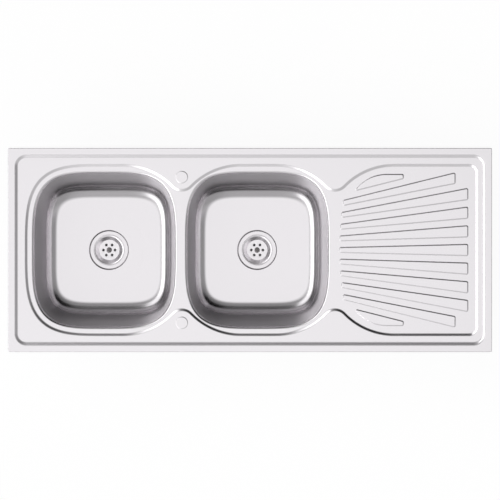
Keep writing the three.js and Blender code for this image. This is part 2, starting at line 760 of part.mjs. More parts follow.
function clipClaw() {
  const bottom = clawTop - clawSheet;
  const tip = clawTop + clawRise;
  const profile = [
    [-clawHub, bottom],
    [clawRampStart, bottom],
    [clawRampEnd, bottom + clawRampRise],
    [clawReach, bottom + clawRampRise],
    [clawReach, tip],
    [clawReach - clawSheet, tip],
    [clawReach - clawSheet, clawTop + clawRampRise],
    [clawRampEnd, clawTop + clawRampRise],
    [clawRampStart, clawTop],
    [-clawHub, clawTop],
  ];
  const cuts = [rod(clipScrewBore, 4 * clawSheet, screwSteps).translate(0, 0, clawTop)];
  const pitch = clawWidth / clawTeeth;
  const notch = new THREE.Shape([
    new THREE.Vector2(-pitch / 3, through),
    new THREE.Vector2(0, -clawToothDepth),
    new THREE.Vector2(pitch / 3, through),
  ]);
  for (let i = 1; i < clawTeeth; i++) {
    const wedge = new THREE.ExtrudeGeometry(notch, { depth: 3 * clawSheet, bevelEnabled: false });
    wedge.rotateX(Math.PI / 2).rotateZ(Math.PI / 2);
    cuts.push(wedge.translate(clawReach - 2 * clawSheet, -clawWidth / 2 + i * pitch, tip));
  }
  return surface(cutFrom(solid(foldedStrip(profile, clawWidth)), cuts));
}

// ---- assembly

function finish(color, roughness, metalness) {
  return new THREE.MeshStandardMaterial({ color, roughness, metalness });
}

const finishes = {
  steel: () => finish(0xdedddf, 0.32, 1),
  drawnSteel: () => finish(0xd6d6d8, 0.36, 1),
  zinc: () => finish(0xb4b6b8, 0.45, 1),
  brass: () => finish(0xb59a58, 0.4, 1),
  plastic: () => finish(0xe6e6e2, 0.55, 0),
  rubber: () => finish(0x2a2a2b, 0.8, 0),
  foam: () => finish(0x4b4d4e, 0.95, 0),
  bitumen: () => finish(0x3a3a3a, 0.9, 0),
};

function piece(name, geometry, material) {
  const mesh = new THREE.Mesh(geometry, material());
  mesh.name = name;
  return mesh;
}

const sink = new THREE.Group();
sink.add(piece('drainer_deck', drainerDeck(), finishes.steel));
sink.add(piece('rim_seal', rimSeal(), finishes.foam));

for (const [side, centre] of Object.entries(bowlCentres)) {
  sink.add(piece(`${side}_bowl`, bowlShell(centre), finishes.drawnSteel));
  sink.add(piece(`${side}_damping_pad`, dampingPad(centre), finishes.bitumen));
  const waste = new THREE.Group();
  waste.position.x = centre;
  waste.add(piece(`${side}_strainer_flange`, strainerFlange(), finishes.steel));
  waste.add(piece(`${side}_flange_gasket`, flangeGasket(), finishes.rubber));
  waste.add(piece(`${side}_waste_body`, wasteBody(), finishes.plastic));
  waste.add(piece(`${side}_body_gasket`, bodyGasket(), finishes.rubber));
  waste.add(piece(`${side}_waste_screw`, wasteScrew(), finishes.steel));
  waste.add(piece(`${side}_waste_insert`, wasteInsert(), finishes.brass));
  sink.add(waste);
}

// The clips stand in two rows under the flat strip of the deck. A claw folds along its row,
// and swings outwards under the worktop: clockwise on one side, the other way on the other.
let clipNumber = 0;
for (const side of [1, -1]) {
  for (let i = 0; i < clipsPerSide; i++) {
    clipNumber += 1;
    const clip = new THREE.Group();
    const x = (i - (clipsPerSide - 1) / 2) * clipSpacing;
    clip.position.set(x, side * (halfWidth - clipInset), 0);
    clip.add(piece(`clip_bracket_${clipNumber}`, clipBracket(), finishes.zinc));
    clip.add(piece(`clip_screw_${clipNumber}`, clipScrew(), finishes.zinc));
    clip.add(piece(`clip_claw_${clipNumber}`, clipClaw(), finishes.zinc));
    sink.add(clip);
  }
}

export default sink;
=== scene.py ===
"""Looks of an inset stainless steel sink with two drawn bowls and a ribbed drainer.

Every piece is in metres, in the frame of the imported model: +X runs towards the drainer, +Y
towards the back and +Z up, from the worktop's surface.
"""

import json
import logging
import math
from collections.abc import Callable
from dataclasses import dataclass, field
from enum import Enum

import bmesh
import bpy
from mathutils import Matrix, Vector
from mathutils.geometry import delaunay_2d_cdt

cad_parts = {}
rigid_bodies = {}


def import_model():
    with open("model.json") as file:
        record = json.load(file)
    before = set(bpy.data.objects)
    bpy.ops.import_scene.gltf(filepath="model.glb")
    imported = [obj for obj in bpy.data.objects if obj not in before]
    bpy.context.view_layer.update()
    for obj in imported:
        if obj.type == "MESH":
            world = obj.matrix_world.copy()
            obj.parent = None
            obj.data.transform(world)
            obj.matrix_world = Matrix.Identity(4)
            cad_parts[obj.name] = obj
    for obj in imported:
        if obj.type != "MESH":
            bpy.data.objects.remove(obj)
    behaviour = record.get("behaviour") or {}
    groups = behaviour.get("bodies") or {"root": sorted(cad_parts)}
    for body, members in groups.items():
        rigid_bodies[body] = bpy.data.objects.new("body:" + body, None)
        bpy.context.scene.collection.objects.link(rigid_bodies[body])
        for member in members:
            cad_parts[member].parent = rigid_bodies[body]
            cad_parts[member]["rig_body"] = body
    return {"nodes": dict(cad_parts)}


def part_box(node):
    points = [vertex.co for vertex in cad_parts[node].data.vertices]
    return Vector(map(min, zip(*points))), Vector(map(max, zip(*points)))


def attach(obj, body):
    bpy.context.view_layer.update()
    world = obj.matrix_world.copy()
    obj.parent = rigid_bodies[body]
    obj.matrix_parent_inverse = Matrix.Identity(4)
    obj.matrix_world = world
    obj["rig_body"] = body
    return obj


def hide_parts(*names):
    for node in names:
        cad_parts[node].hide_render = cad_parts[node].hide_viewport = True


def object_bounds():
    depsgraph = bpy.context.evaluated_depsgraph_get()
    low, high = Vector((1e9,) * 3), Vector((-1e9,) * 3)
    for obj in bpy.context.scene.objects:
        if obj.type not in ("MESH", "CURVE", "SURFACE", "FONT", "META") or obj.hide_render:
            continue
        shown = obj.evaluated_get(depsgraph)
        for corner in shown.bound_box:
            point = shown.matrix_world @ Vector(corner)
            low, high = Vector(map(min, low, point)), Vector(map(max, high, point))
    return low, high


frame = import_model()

CAD_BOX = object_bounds()
LOG = logging.getLogger("sink")
MM = 0.001
GUARD = 0.03 * MM  # narrow band that keeps a bend's shading off the flat beside it
TINY = 1e-7

Outline = list[tuple[float, float]]
OutlineAt = Callable[[float], Outline]


# ---- outlines


def arc(cx: float, cy: float, radius: float, start: float, end: float, steps: int) -> Outline:
    """Points along an arc.

    Args:
        cx: Centre along X.
        cy: Centre along Y.
        radius: Radius of the arc.
        start: First angle in degrees.
        end: Last angle in degrees.
        steps: Number of stretches between the points.

    Returns:
        The points, both ends included.
    """
    angles = [math.radians(start + (end - start) * i / steps) for i in range(steps + 1)]
    return [(cx + radius * math.cos(a), cy + radius * math.sin(a)) for a in angles]


def circle(cx: float, cy: float, radius: float, steps: int) -> Outline:
    """A whole circle, counter-clockwise, from its +X side."""
    return arc(cx, cy, radius, 0, 360, steps)[:-1]


def superellipse(
    cx: float, a: float, b: float, squareness: float, steps: int, start: float = 0, end: float = 360
) -> Outline:
    """Points along a squarish oval on the X axis.

    Args:
        cx: Centre along X.
        a: Half length along X.
        b: Half width along Y.
        squareness: 2 is an ellipse, and larger values are squarer.
        steps: Number of stretches between the points.
        start: First angle in degrees.
        end: Last angle in degrees.

    Returns:
        The points. A whole turn doesn't repeat its first point.
    """
    power = 2 / squareness
    points = []
    for i in range(steps + 1):
        angle = math.radians(start + (end - start) * i / steps)
        c, s = math.cos(angle), math.sin(angle)
        x = math.copysign(abs(c) ** power, c)
        y = math.copysign(abs(s) ** power, s)
        points.append((cx + a * x, b * y))
    return points[:-1] if end - start == 360 else points


def rounded_polygon(corners: Outline, radii: list[float], grow: float, steps: int) -> Outline:
    """A convex polygon with each corner rounded to its own radius.

    Args:
        corners: The sharp corners, counter-clockwise.
        radii: The radius at each corner.
        grow: How far the finished outline is moved outwards.
        steps: Number of stretches in each corner.

    Returns:
        The rounded outline, counter-clockwise.
    """
    points: Outline = []
    count = len(corners)
    for i, radius in enumerate(radii):
        corner = Vector(corners[i])
        incoming = (corner - Vector(corners[i - 1])).normalized()
        outgoing = (Vector(corners[(i + 1) % count]) - corner).normalized()
        turn = math.atan2(incoming.cross(outgoing), incoming.dot(outgoing))
        normal = Vector((-incoming.y, incoming.x))
        centre = corner - incoming * radius * math.tan(turn / 2) + normal * radius
        start = math.degrees(math.atan2(-normal.y, -normal.x))
        points += arc(centre.x, centre.y, radius + grow, start, start + math.degrees(turn), steps)
    return points


def rounded_rectangle(half_x: float, half_y: float, radius: float, grow: float, steps: int) -> Outline:
    """A rectangle about the origin with round corners, grown outwards by `grow`."""
    corners = [(half_x, -half_y), (half_x, half_y), (-half_x, half_y), (-half_x, -half_y)]
    return rounded_polygon(corners, [radius] * 4, grow, steps)


def rectangle(left: float, right: float, half_y: float) -> Outline:
    """A rectangle from one X to another."""
    return [(left, -half_y), (right, -half_y), (right, half_y), (left, half_y)]


def round_at(radius: float, steps: int) -> OutlineAt:
    """A circle about the origin, for a distance outwards."""
    return lambda grow: circle(0, 0, radius + grow, steps)


def block_at(half_x: float, half_y: float, radius: float, steps: int) -> OutlineAt:
    """A rectangle about the origin with round corners, for a distance outwards."""
    return lambda grow: rounded_rectangle(half_x, half_y, radius, grow, steps)


def mirrored(points: Outline) -> Outline:
    """The same outline on the other side of the X axis, counter-clockwise again."""
    return [(x, -y) for x, y in reversed(points)]


# ---- meshes


@dataclass
class SheetMesh:
    """A pressed sheet: level flats and lofted steps that share their edges, seen from above."""

    verts: list[tuple[float, float, float]] = field(default_factory=list)
    faces: list[tuple[int, ...]] = field(default_factory=list)

    def ring(self, outline: Outline, z: float) -> list[int]:
        """Adds a level ring of points and returns their numbers."""
        first = len(self.verts)
        self.verts += [(x, y, z) for x, y in outline]
        return list(range(first, len(self.verts)))

    def loft(self, rings: list[list[int]]) -> None:
        """Joins rings, given from the outer one inwards, by a band of faces each."""
        for outer, inner in zip(rings, rings[1:]):
            count = len(outer)
            for i in range(count):
                j = (i + 1) % count
                self.faces.append((outer[i], outer[j], inner[j], inner[i]))

    def flat(self, outer: list[int], holes: list[list[int]]) -> None:
        """Fills the level area inside one ring and outside the others.

        Args:
            outer: The ring round the area.
            holes: Rings inside it that stay open.
        """
        numbers: list[int] = []
        areas: list[list[int]] = []
        for ring in [outer, *holes]:
            first = len(numbers)
            numbers += ring
            areas.append(list(range(first, len(numbers))))
        points = [Vector(self.verts[n][:2]) for n in numbers]
        inside_with_holes = 2
        found = delaunay_2d_cdt(points, [], areas, inside_with_holes, TINY)
        triangles, origins = found[2], found[3]
        for triangle in triangles:
            self.faces.append(tuple(numbers[origins[i][0]] for i in triangle))

    def step(
        self, outline_at: OutlineAt, width: float, outer_z: float, inner_z: float, steps: int
    ) -> list[list[int]]:
        """Lofts an S-shaped step between two levels.

        Args:
            outline_at: Gives the step's outline for a distance outwards.
            width: Width of the slope.
            outer_z: Level outside the step.
            inner_z: Level inside the step.
            steps: Number of bands across the slope.

        Returns:
            The rings, outermost first.
        """
        rings = [self.ring(outline_at(width / 2 + GUARD), outer_z)]
        for i in range(steps + 1):
            u = i / steps
            z = outer_z + (inner_z - outer_z) * u * u * (3 - 2 * u)
            rings.append(self.ring(outline_at(width * (0.5 - u)), z))
        rings.append(self.ring(outline_at(-width / 2 - GUARD), inner_z))
        self.loft(rings)
        return rings

    def build(self, name: str, thickness: float) -> bpy.types.Object:
        """Makes the object and gives the sheet its thickness below.

        Args:
            name: The object's name.
            thickness: Thickness of the sheet.

        Returns:
            The new object, with no modifier left on it.
        """
        mesh = bpy.data.meshes.new(name)
        mesh.from_pydata(self.verts, [], self.faces)
        mesh.validate()
        made = bpy.data.objects.new(name, mesh)
        bpy.context.scene.collection.objects.link(made)
        if thickness:
            solidify = made.modifiers.new("thickness", "SOLIDIFY")
            solidify.thickness = thickness
            solidify.offset = -1
            solidify.use_even_offset = True
            apply_modifiers(made)
        shade_smooth(made)
        return made


def apply_modifiers(piece: bpy.types.Object) -> None:
    """Replaces the piece's mesh by what its modifiers make of it."""
    depsgraph = bpy.context.evaluated_depsgraph_get()
    mesh = bpy.data.meshes.new_from_object(piece.evaluated_get(depsgraph))
    piece.modifiers.clear()
    piece.data = mesh


def shade_smooth(piece: bpy.types.Object, degrees: float = 35) -> None:
    """Shades the piece smooth, except across edges sharper than the given angle."""
    piece.data.shade_smooth()
    bm = bmesh.new()
    bm.from_mesh(piece.data)
    limit = math.radians(degrees)
    for edge in bm.edges:
        edge.smooth = len(edge.link_faces) == 2 and edge.calc_face_angle(0) < limit
    bm.to_mesh(piece.data)
    bm.free()


@dataclass(frozen=True)
class Thread:
    """A screw thread on a stretch of a turned piece."""

    radius: float
    low: float
    high: float
    pitch: float
    depth: float
    samples: int = 8
    flank: float = 2.6

    def profile(self) -> Outline:
        """The points of the threaded stretch, from its low end to its high end."""
        count = round(self.samples * (self.high - self.low) / self.pitch)
        return [(self.radius, self.low + (self.high - self.low) * i / count) for i in range(count + 1)]

    def cut(self, radius: float, z: float, turn: float) -> float:
        """The radius of the thread's surface.

        Args:
            radius: The radius before the thread is cut.
            z: The height.
            turn: The share of a turn round the axis.

        Returns:
            The radius at that place, unchanged away from the thread.
        """
        ends = min(z - self.low, self.high - z) / self.pitch
        if abs(radius - self.radius) > TINY or ends <= 0:
            return radius
        phase = (z / self.pitch - turn) % 1.0
        groove = max(0.0, 1.0 - self.flank * abs(phase - 0.5))
        return radius - self.depth * groove * min(ends, 1.0)


def turned(name: str, profile: Outline, steps: int, thread: Thread | None = None) -> bpy.types.Object:
    """A solid turned about the Z axis.

    Args:
        name: The object's name.
        profile: (radius, height) pairs that run up the outer side and close on themselves.
            A radius of 0 lies on the axis.
        steps: Number of facets round the axis.
        thread: A thread that is cut into one stretch of the profile.

    Returns:
        The new object.
    """
    bm = bmesh.new()
    rings = []
    for radius, z in profile:
        if radius < TINY:
            rings.append([bm.verts.new((0, 0, z))])
            continue
        ring = []
        for i in range(steps):
            out = thread.cut(radius, z, i / steps) if thread else radius
            angle = 2 * math.pi * i / steps
            ring.append(bm.verts.new((out * math.cos(angle), out * math.sin(angle), z)))
        rings.append(ring)
    for lower, upper in zip(rings, rings[1:] + rings[:1]):
        for i in range(steps):
            j = (i + 1) % steps
            ends = [(lower, i), (lower, j), (upper, j), (upper, i)]
            unique = list(dict.fromkeys(ring[k % len(ring)] for ring, k in ends))
            if len(unique) > 2:
                bm.faces.new(unique)
    mesh = bpy.data.meshes.new(name)
    bm.to_mesh(mesh)
    bm.free()
    made = bpy.data.objects.new(name, mesh)
    bpy.context.scene.collection.objects.link(made)
    face_outwards(made)
    shade_smooth(made)
    return made


def plate(
    name: str, outline_at: OutlineAt, low: float, high: float, holes: tuple[OutlineAt, ...] = (),
    edge: float = 0.3 * MM,
) -> bpy.types.Object:
    """A flat solid with broken edges.

    Args:
        name: The object's name.
        outline_at: Gives the outline for a distance outwards.
        low: Height of its underside.
        high: Height of its top.
        holes: Outlines of the holes through it, each for a distance outwards.
        edge: Width of the broken edges.

    Returns:
        The new object.
    """
    mesh = SheetMesh()
    soft = 0.3 * edge
    sections = [(edge, low), (soft, low + soft), (0, low + edge)]
    sections += [(0, high - edge), (soft, high - soft), (edge, high)]
    outer = [mesh.ring(outline_at(-inset), z) for inset, z in sections]
    mesh.loft(outer)
    walls = []
    for hole_at in holes:
        walls.append([mesh.ring(hole_at(inset), z) for inset, z in sections])
        mesh.loft(walls[-1])
    for end in (0, -1):
        mesh.flat(outer[end], [wall[end] for wall in walls])
    made = mesh.build(name, 0)
    face_outwards(made)
    return made


def face_outwards(piece: bpy.types.Object) -> None:
    """Turns all faces of a closed piece outwards."""
    bm = bmesh.new()
    bm.from_mesh(piece.data)
    bmesh.ops.recalc_face_normals(bm, faces=bm.faces)
    bm.to_mesh(piece.data)
    bm.free()


def folded(line: Outline, thickness: float, radius: float, steps: int = 6) -> OutlineAt:
    """The section of a strip that is folded along a line.

    Args:
        line: The corner points of the strip's middle line.
        thickness: Thickness of the strip.
        radius: Radius of each bend, at the middle line.
        steps: Points in each bend.

    Returns:
        A function that gives the section for a distance outwards.
    """
    angles = [math.atan2(y1 - y0, x1 - x0) for (x0, y0), (x1, y1) in zip(line, line[1:])]
    path = [(*line[0], angles[0])]
    for (x, y), before, after in zip(line[1:-1], angles, angles[1:]):
        turn = (after - before + math.pi) % (2 * math.pi) - math.pi
        side = math.copysign(radius, turn)
        back = radius * math.tan(abs(turn) / 2)
        cx = x - back * math.cos(before) - side * math.sin(before)
        cy = y - back * math.sin(before) + side * math.cos(before)
        for i in range(steps + 1):
            a = before + turn * i / steps
            path.append((cx + side * math.sin(a), cy - side * math.cos(a), a))
    path.append((*line[-1], angles[-1]))

    def outline_at(grow: float) -> Outline:
        """Both faces of the strip, as one closed line."""
        half = thickness / 2 + grow
        left = [(x - half * math.sin(a), y + half * math.cos(a)) for x, y, a in path]
        right = [(x + half * math.sin(a), y - half * math.cos(a)) for x, y, a in path]
        return [*right, *reversed(left)]

    return outline_at


def moved(piece: bpy.types.Object, *steps: Matrix) -> bpy.types.Object:
    """Moves the piece's mesh by each matrix in turn."""
    for step in steps:
        piece.data.transform(step)
    return piece


def combine(piece: bpy.types.Object, tool: bpy.types.Object, operation: str) -> None:
    """Joins a tool to the piece or cuts it away, and removes the tool.

    Args:
        piece: The piece that changes.
        tool: The other solid.
        operation: UNION or DIFFERENCE.
    """
    boolean = piece.modifiers.new("combine", "BOOLEAN")
    boolean.operation = operation
    boolean.solver = "EXACT"
    boolean.object = tool
    apply_modifiers(piece)
    bpy.data.objects.remove(tool)
    shade_smooth(piece)


def copied(piece: bpy.types.Object, name: str, x: float, y: float) -> bpy.types.Object:
    """A copy of the piece that stands somewhere else.

    Args:
        piece: The piece, about the origin.
        name: The copy's name.
        x: The copy's place along X.
        y: The copy's place along Y.

    Returns:
        The copy.
    """
    made = bpy.data.objects.new(name, piece.data.copy())
    bpy.context.scene.collection.objects.link(made)
    return moved(made, Matrix.Translation((x, y, 0)))


# ---- finishes


def node_group(name: str, inputs: dict[str, float], outputs: list[str]) -> bpy.types.ShaderNodeTree:
    """Starts a shader node group with float sockets.

    Args:
        name: The group's name.
        inputs: Each input with its usual value.
        outputs: The names of the outputs.

    Returns:
        The group, with its input and output nodes.
    """
    group = bpy.data.node_groups.new(name, "ShaderNodeTree")
    for label, value in inputs.items():
        socket = group.interface.new_socket(label, in_out="INPUT", socket_type="NodeSocketFloat")
        socket.default_value = value
    for label in outputs:
        group.interface.new_socket(label, in_out="OUTPUT", socket_type="NodeSocketFloat")
    group.nodes.new("NodeGroupInput").name = "in"
    group.nodes.new("NodeGroupOutput").name = "out"
    return group


def math_node(tree: bpy.types.NodeTree, operation: str, a: object, b: object = 0.0) -> bpy.types.NodeSocket:
    """Adds a Math node and returns its result.

    Args:
        tree: The tree it goes into.
        operation: The node's operation.
        a: A socket or a number.
        b: A socket or a number.

    Returns:
        The output socket.
    """
    node = tree.nodes.new("ShaderNodeMath")
    node.operation = operation
    for socket, value in zip(node.inputs, (a, b)):
        if isinstance(value, bpy.types.NodeSocket):
            tree.links.new(value, socket)
        else:
            socket.default_value = value
    return node.outputs[0]


def map_range(
    tree: bpy.types.NodeTree, value: bpy.types.NodeSocket, start: float, end: float,
    low: float = 0.0, high: float = 1.0,
) -> bpy.types.NodeSocket:
    """Eases a value from one range into another.

    Args:
        tree: The tree the node goes into.
        value: The socket to map.
        start: The input that gives `low`.
        end: The input that gives `high`.
        low: Output at `start`.
        high: Output at `end`.

    Returns:
        The output socket.
    """
    node = tree.nodes.new("ShaderNodeMapRange")
    node.interpolation_type = "SMOOTHSTEP"
    for label, number in (("From Min", start), ("From Max", end), ("To Min", low), ("To Max", high)):
        node.inputs[label].default_value = number
    tree.links.new(value, node.inputs["Value"])
    return node.outputs[0]


class Grain:
    """The fine directional grain and slow waviness of rolled sheet, shared by the metals."""

    def __init__(self) -> None:
        """Builds the node group once."""
        sizes = {"Grain Size": 900.0, "Stretch": 0.04, "Wave Size": 7.0}
        self.group = node_group("sheet_grain", sizes, ["Grain", "Wave"])
        tree = self.group
        place = tree.nodes.new("ShaderNodeTexCoord")
        stretch = tree.nodes.new("ShaderNodeVectorMath")
        stretch.operation = "MULTIPLY"
        factors = tree.nodes.new("ShaderNodeCombineXYZ")
        factors.inputs["Y"].default_value = 1.0
        factors.inputs["Z"].default_value = 1.0
        sockets = tree.nodes["in"].outputs
        tree.links.new(sockets["Stretch"], factors.inputs["X"])
        tree.links.new(place.outputs["Object"], stretch.inputs[0])
        tree.links.new(factors.outputs[0], stretch.inputs[1])
        for label, size, vector in (
            ("Grain", "Grain Size", stretch.outputs[0]),
            ("Wave", "Wave Size", place.outputs["Object"]),
        ):
            noise = tree.nodes.new("ShaderNodeTexNoise")
            noise.inputs["Detail"].default_value = 2.0
            tree.links.new(vector, noise.inputs["Vector"])
            tree.links.new(sockets[size], noise.inputs["Scale"])
            tree.links.new(noise.outputs["Fac"], tree.nodes["out"].inputs[label])


class PaintedSlopeShade:
    """A mask of the drawn walls and of the front and back fillets, for painted shade that darkens their
    colour and for duller sheet there; faces that turn towards the bright −X panel get less painted shade.
    """

    def __init__(self) -> None:
        """Builds the node group once."""
        # Lit Side lessens the painted shade on faces that turn towards the bright −X panel: painted light.
        inputs = {"Level": 0.6, "Steep": 0.15, "Fillet Start": 0.02, "Fillet End": 0.25, "Lit Side": 0.4}
        self.group = node_group("painted_slope_shade", inputs, ["Mask", "Slope"])
        tree = self.group
        sockets = tree.nodes["in"].outputs
        place = tree.nodes.new("ShaderNodeTexCoord")
        axes = tree.nodes.new("ShaderNodeSeparateXYZ")
        tree.links.new(place.outputs["Normal"], axes.inputs[0])
        masks = []
        for axis, start, end in (("Z", "Level", "Steep"), ("Y", "Fillet Start", "Fillet End")):
            mask = tree.nodes.new("ShaderNodeMapRange")
            mask.interpolation_type = "SMOOTHSTEP"
            tree.links.new(math_node(tree, "ABSOLUTE", axes.outputs[axis]), mask.inputs["Value"])
            tree.links.new(sockets[start], mask.inputs["From Min"])
            tree.links.new(sockets[end], mask.inputs["From Max"])
            masks.append(mask.outputs[0])
        slope = math_node(tree, "MAXIMUM", *masks)
        facing = math_node(tree, "MAXIMUM", math_node(tree, "MULTIPLY", axes.outputs["X"], -1.0), 0.0)
        kept = math_node(tree, "SUBTRACT", 1.0, math_node(tree, "MULTIPLY", facing, sockets["Lit Side"]))
        tree.links.new(masks[0], tree.nodes["out"].inputs["Slope"])
        tree.links.new(math_node(tree, "MULTIPLY", slope, kept), tree.nodes["out"].inputs["Mask"])


@dataclass(frozen=True)
class Metal:
    """A metal finish: colour, polish, how much its grain and waviness show, and how much painted shade
    darkens its steep faces.
    """

    name: str
    color: tuple[float, float, float]
    roughness: float
    grain: float = 0.03
    wave_height: float = 0.0
    grain_size: float = 900.0
    stretch: float = 0.04
    # Share of the colour darkened on steep faces: painted shade standing in for the shade on the bowl walls.
    painted_slope_shade: float = 0.0
    slope_roughness: float = 0.0

    def material(self, grain: Grain, slopes: PaintedSlopeShade) -> bpy.types.Material:
        """Builds the material.

        Args:
            grain: The shared grain group.
            slopes: The shared mask of steep faces, for painted shade.

        Returns:
            The finished material.
        """
        made = bpy.data.materials.new(self.name)
        made.use_nodes = True
        tree = made.node_tree
        shader = tree.nodes["Principled BSDF"]
        shader.inputs["Metallic"].default_value = 1.0
        sheet = tree.nodes.new("ShaderNodeGroup")
        sheet.node_tree = grain.group
        sheet.inputs["Grain Size"].default_value = self.grain_size
        sheet.inputs["Stretch"].default_value = self.stretch
        centred = math_node(tree, "SUBTRACT", sheet.outputs["Grain"], 0.5)
        spread = math_node(tree, "MULTIPLY", centred, 2 * self.grain)
        rough = math_node(tree, "ADD", spread, self.roughness)
        tint = tree.nodes.new("ShaderNodeMix")
        tint.data_type = "RGBA"
        tint.inputs["A"].default_value = (*[c * 0.97 for c in self.color], 1)
        tint.inputs["B"].default_value = (*[min(1.0, c * 1.03) for c in self.color], 1)
        tree.links.new(sheet.outputs["Grain"], tint.inputs["Factor"])
        color = tint.outputs["Result"]
        # Painted shade: the steep walls and the front and back fillets are darkened in the base colour.
        if self.painted_slope_shade:
            mask = tree.nodes.new("ShaderNodeGroup")
            mask.node_tree = slopes.group
            shade = math_node(tree, "MULTIPLY", mask.outputs["Mask"], self.painted_slope_shade)
            duller = math_node(tree, "MULTIPLY", mask.outputs["Slope"], self.slope_roughness)
            rough = math_node(tree, "ADD", rough, duller)
            darker = tree.nodes.new("ShaderNodeMix")
            darker.data_type = "RGBA"
            darker.inputs["B"].default_value = (0.0, 0.0, 0.0, 1)
            tree.links.new(shade, darker.inputs["Factor"])
            tree.links.new(color, darker.inputs["A"])
            color = darker.outputs["Result"]
        tree.links.new(color, shader.inputs["Base Color"])
        tree.links.new(rough, shader.inputs["Roughness"])
        if self.wave_height:
            bump = tree.nodes.new("ShaderNodeBump")
            bump.inputs["Distance"].default_value = self.wave_height
            tree.links.new(sheet.outputs["Wave"], bump.inputs["Height"])
            tree.links.new(bump.outputs["Normal"], shader.inputs["Normal"])
        return made


class Speckle:
    """Fine spots and relief for plastics, rubber, foam and plating, as a shader node group."""

    def __init__(self) -> None:
        """Builds the node group once."""
        self.group = node_group("speckle", {"Size": 400.0, "Cells": 900.0}, ["Spots", "Relief"])
        tree = self.group
        sockets = tree.nodes["in"].outputs
        place = tree.nodes.new("ShaderNodeTexCoord")
        cloud = tree.nodes.new("ShaderNodeTexNoise")
        cloud.inputs["Detail"].default_value = 4.0
        cells = tree.nodes.new("ShaderNodeTexVoronoi")
        for texture, size in ((cloud, "Size"), (cells, "Cells")):
            tree.links.new(place.outputs["Object"], texture.inputs["Vector"])
            tree.links.new(sockets[size], texture.inputs["Scale"])
        spots = map_range(tree, cloud.outputs[0], 0.35, 0.65)
        relief = math_node(tree, "ADD", cells.outputs["Distance"], cloud.outputs[0])
        tree.links.new(spots, tree.nodes["out"].inputs["Spots"])
        tree.links.new(relief, tree.nodes["out"].inputs["Relief"])


class Embossing:
    """The waffle pattern that is rolled into a damping sheet, as a shader node group."""

    def __init__(self) -> None:
        """Builds the node group once."""
        self.group = node_group("embossing", {"Pitch": 0.006, "Land": 0.25}, ["Height"])
        tree = self.group
        sockets = tree.nodes["in"].outputs
        place = tree.nodes.new("ShaderNodeTexCoord")
        axes = tree.nodes.new("ShaderNodeSeparateXYZ")
        tree.links.new(place.outputs["Object"], axes.inputs[0])
        waves = []
        for axis in ("X", "Y"):
            turns = math_node(tree, "DIVIDE", axes.outputs[axis], sockets["Pitch"])
            from_middle = math_node(tree, "SUBTRACT", math_node(tree, "FRACT", turns), 0.5)
            off = math_node(tree, "ABSOLUTE", from_middle)
            waves.append(math_node(tree, "MULTIPLY", off, 2.0))
        nearest = math_node(tree, "MAXIMUM", *waves)
        rise = tree.nodes.new("ShaderNodeMapRange")
        rise.interpolation_type = "SMOOTHSTEP"
        tree.links.new(nearest, rise.inputs["Value"])
        tree.links.new(math_node(tree, "SUBTRACT", 1.0, sockets["Land"]), rise.inputs["From Min"])
        tree.links.new(rise.outputs[0], tree.nodes["out"].inputs["Height"])


@dataclass(frozen=True)
class Matte:
    """A moulded, foamed or rolled finish that is no metal."""

    name: str
    color: tuple[float, float, float]
    roughness: float
    mottle: float = 0.12
    relief: float = 0.00005
    size: float = 400.0
    cells: float = 900.0
    pitch: float = 0.0

    def material(self, speckle: Speckle, embossing: Embossing) -> bpy.types.Material:
        """Builds the material.

        Args:
            speckle: The shared spots and relief.
            embossing: The shared waffle pattern, used where the finish has a pitch.

        Returns:
            The finished material.
        """
        made = bpy.data.materials.new(self.name)
        made.use_nodes = True
        tree = made.node_tree
        shader = tree.nodes["Principled BSDF"]
        fine = tree.nodes.new("ShaderNodeGroup")
        fine.node_tree = speckle.group
        fine.inputs["Size"].default_value = self.size
        fine.inputs["Cells"].default_value = self.cells
        tint = tree.nodes.new("ShaderNodeMix")
        tint.data_type = "RGBA"
        tint.inputs["A"].default_value = (*[c * (1 - self.mottle) for c in self.color], 1)
        tint.inputs["B"].default_value = (*[min(1.0, c * (1 + self.mottle)) for c in self.color], 1)
        tree.links.new(fine.outputs["Spots"], tint.inputs["Factor"])
        tree.links.new(tint.outputs["Result"], shader.inputs["Base Color"])
        spread = math_node(tree, "MULTIPLY", fine.outputs["Spots"], 0.08)
        tree.links.new(math_node(tree, "ADD", spread, self.roughness - 0.04), shader.inputs["Roughness"])
        bump = tree.nodes.new("ShaderNodeBump")
        bump.inputs["Distance"].default_value = self.relief
        tree.links.new(fine.outputs["Relief"], bump.inputs["Height"])
        if self.pitch:
            waffle = tree.nodes.new("ShaderNodeGroup")
            waffle.node_tree = embossing.group
            waffle.inputs["Pitch"].default_value = self.pitch
            rolled = tree.nodes.new("ShaderNodeBump")
            rolled.inputs["Distance"].default_value = 0.1 * self.pitch
            rolled.invert = True
            tree.links.new(waffle.outputs["Height"], rolled.inputs["Height"])
            tree.links.new(rolled.outputs["Normal"], bump.inputs["Normal"])
        tree.links.new(bump.outputs["Normal"], shader.inputs["Normal"])
        return made


class Slot(Enum):
    """The record's material slots."""

    PRESSED = "pressed_steel"
    DRAWN = "drawn_steel"
    POLISHED = "polished_steel"
    ZINC = "zinc_plated_steel"
    SCREW = "screw_steel"
    BRASS = "insert_brass"
    PLASTIC = "waste_plastic"
    RUBBER = "gasket_rubber"
    FOAM = "seal_foam"
    BITUMEN = "damping_bitumen"


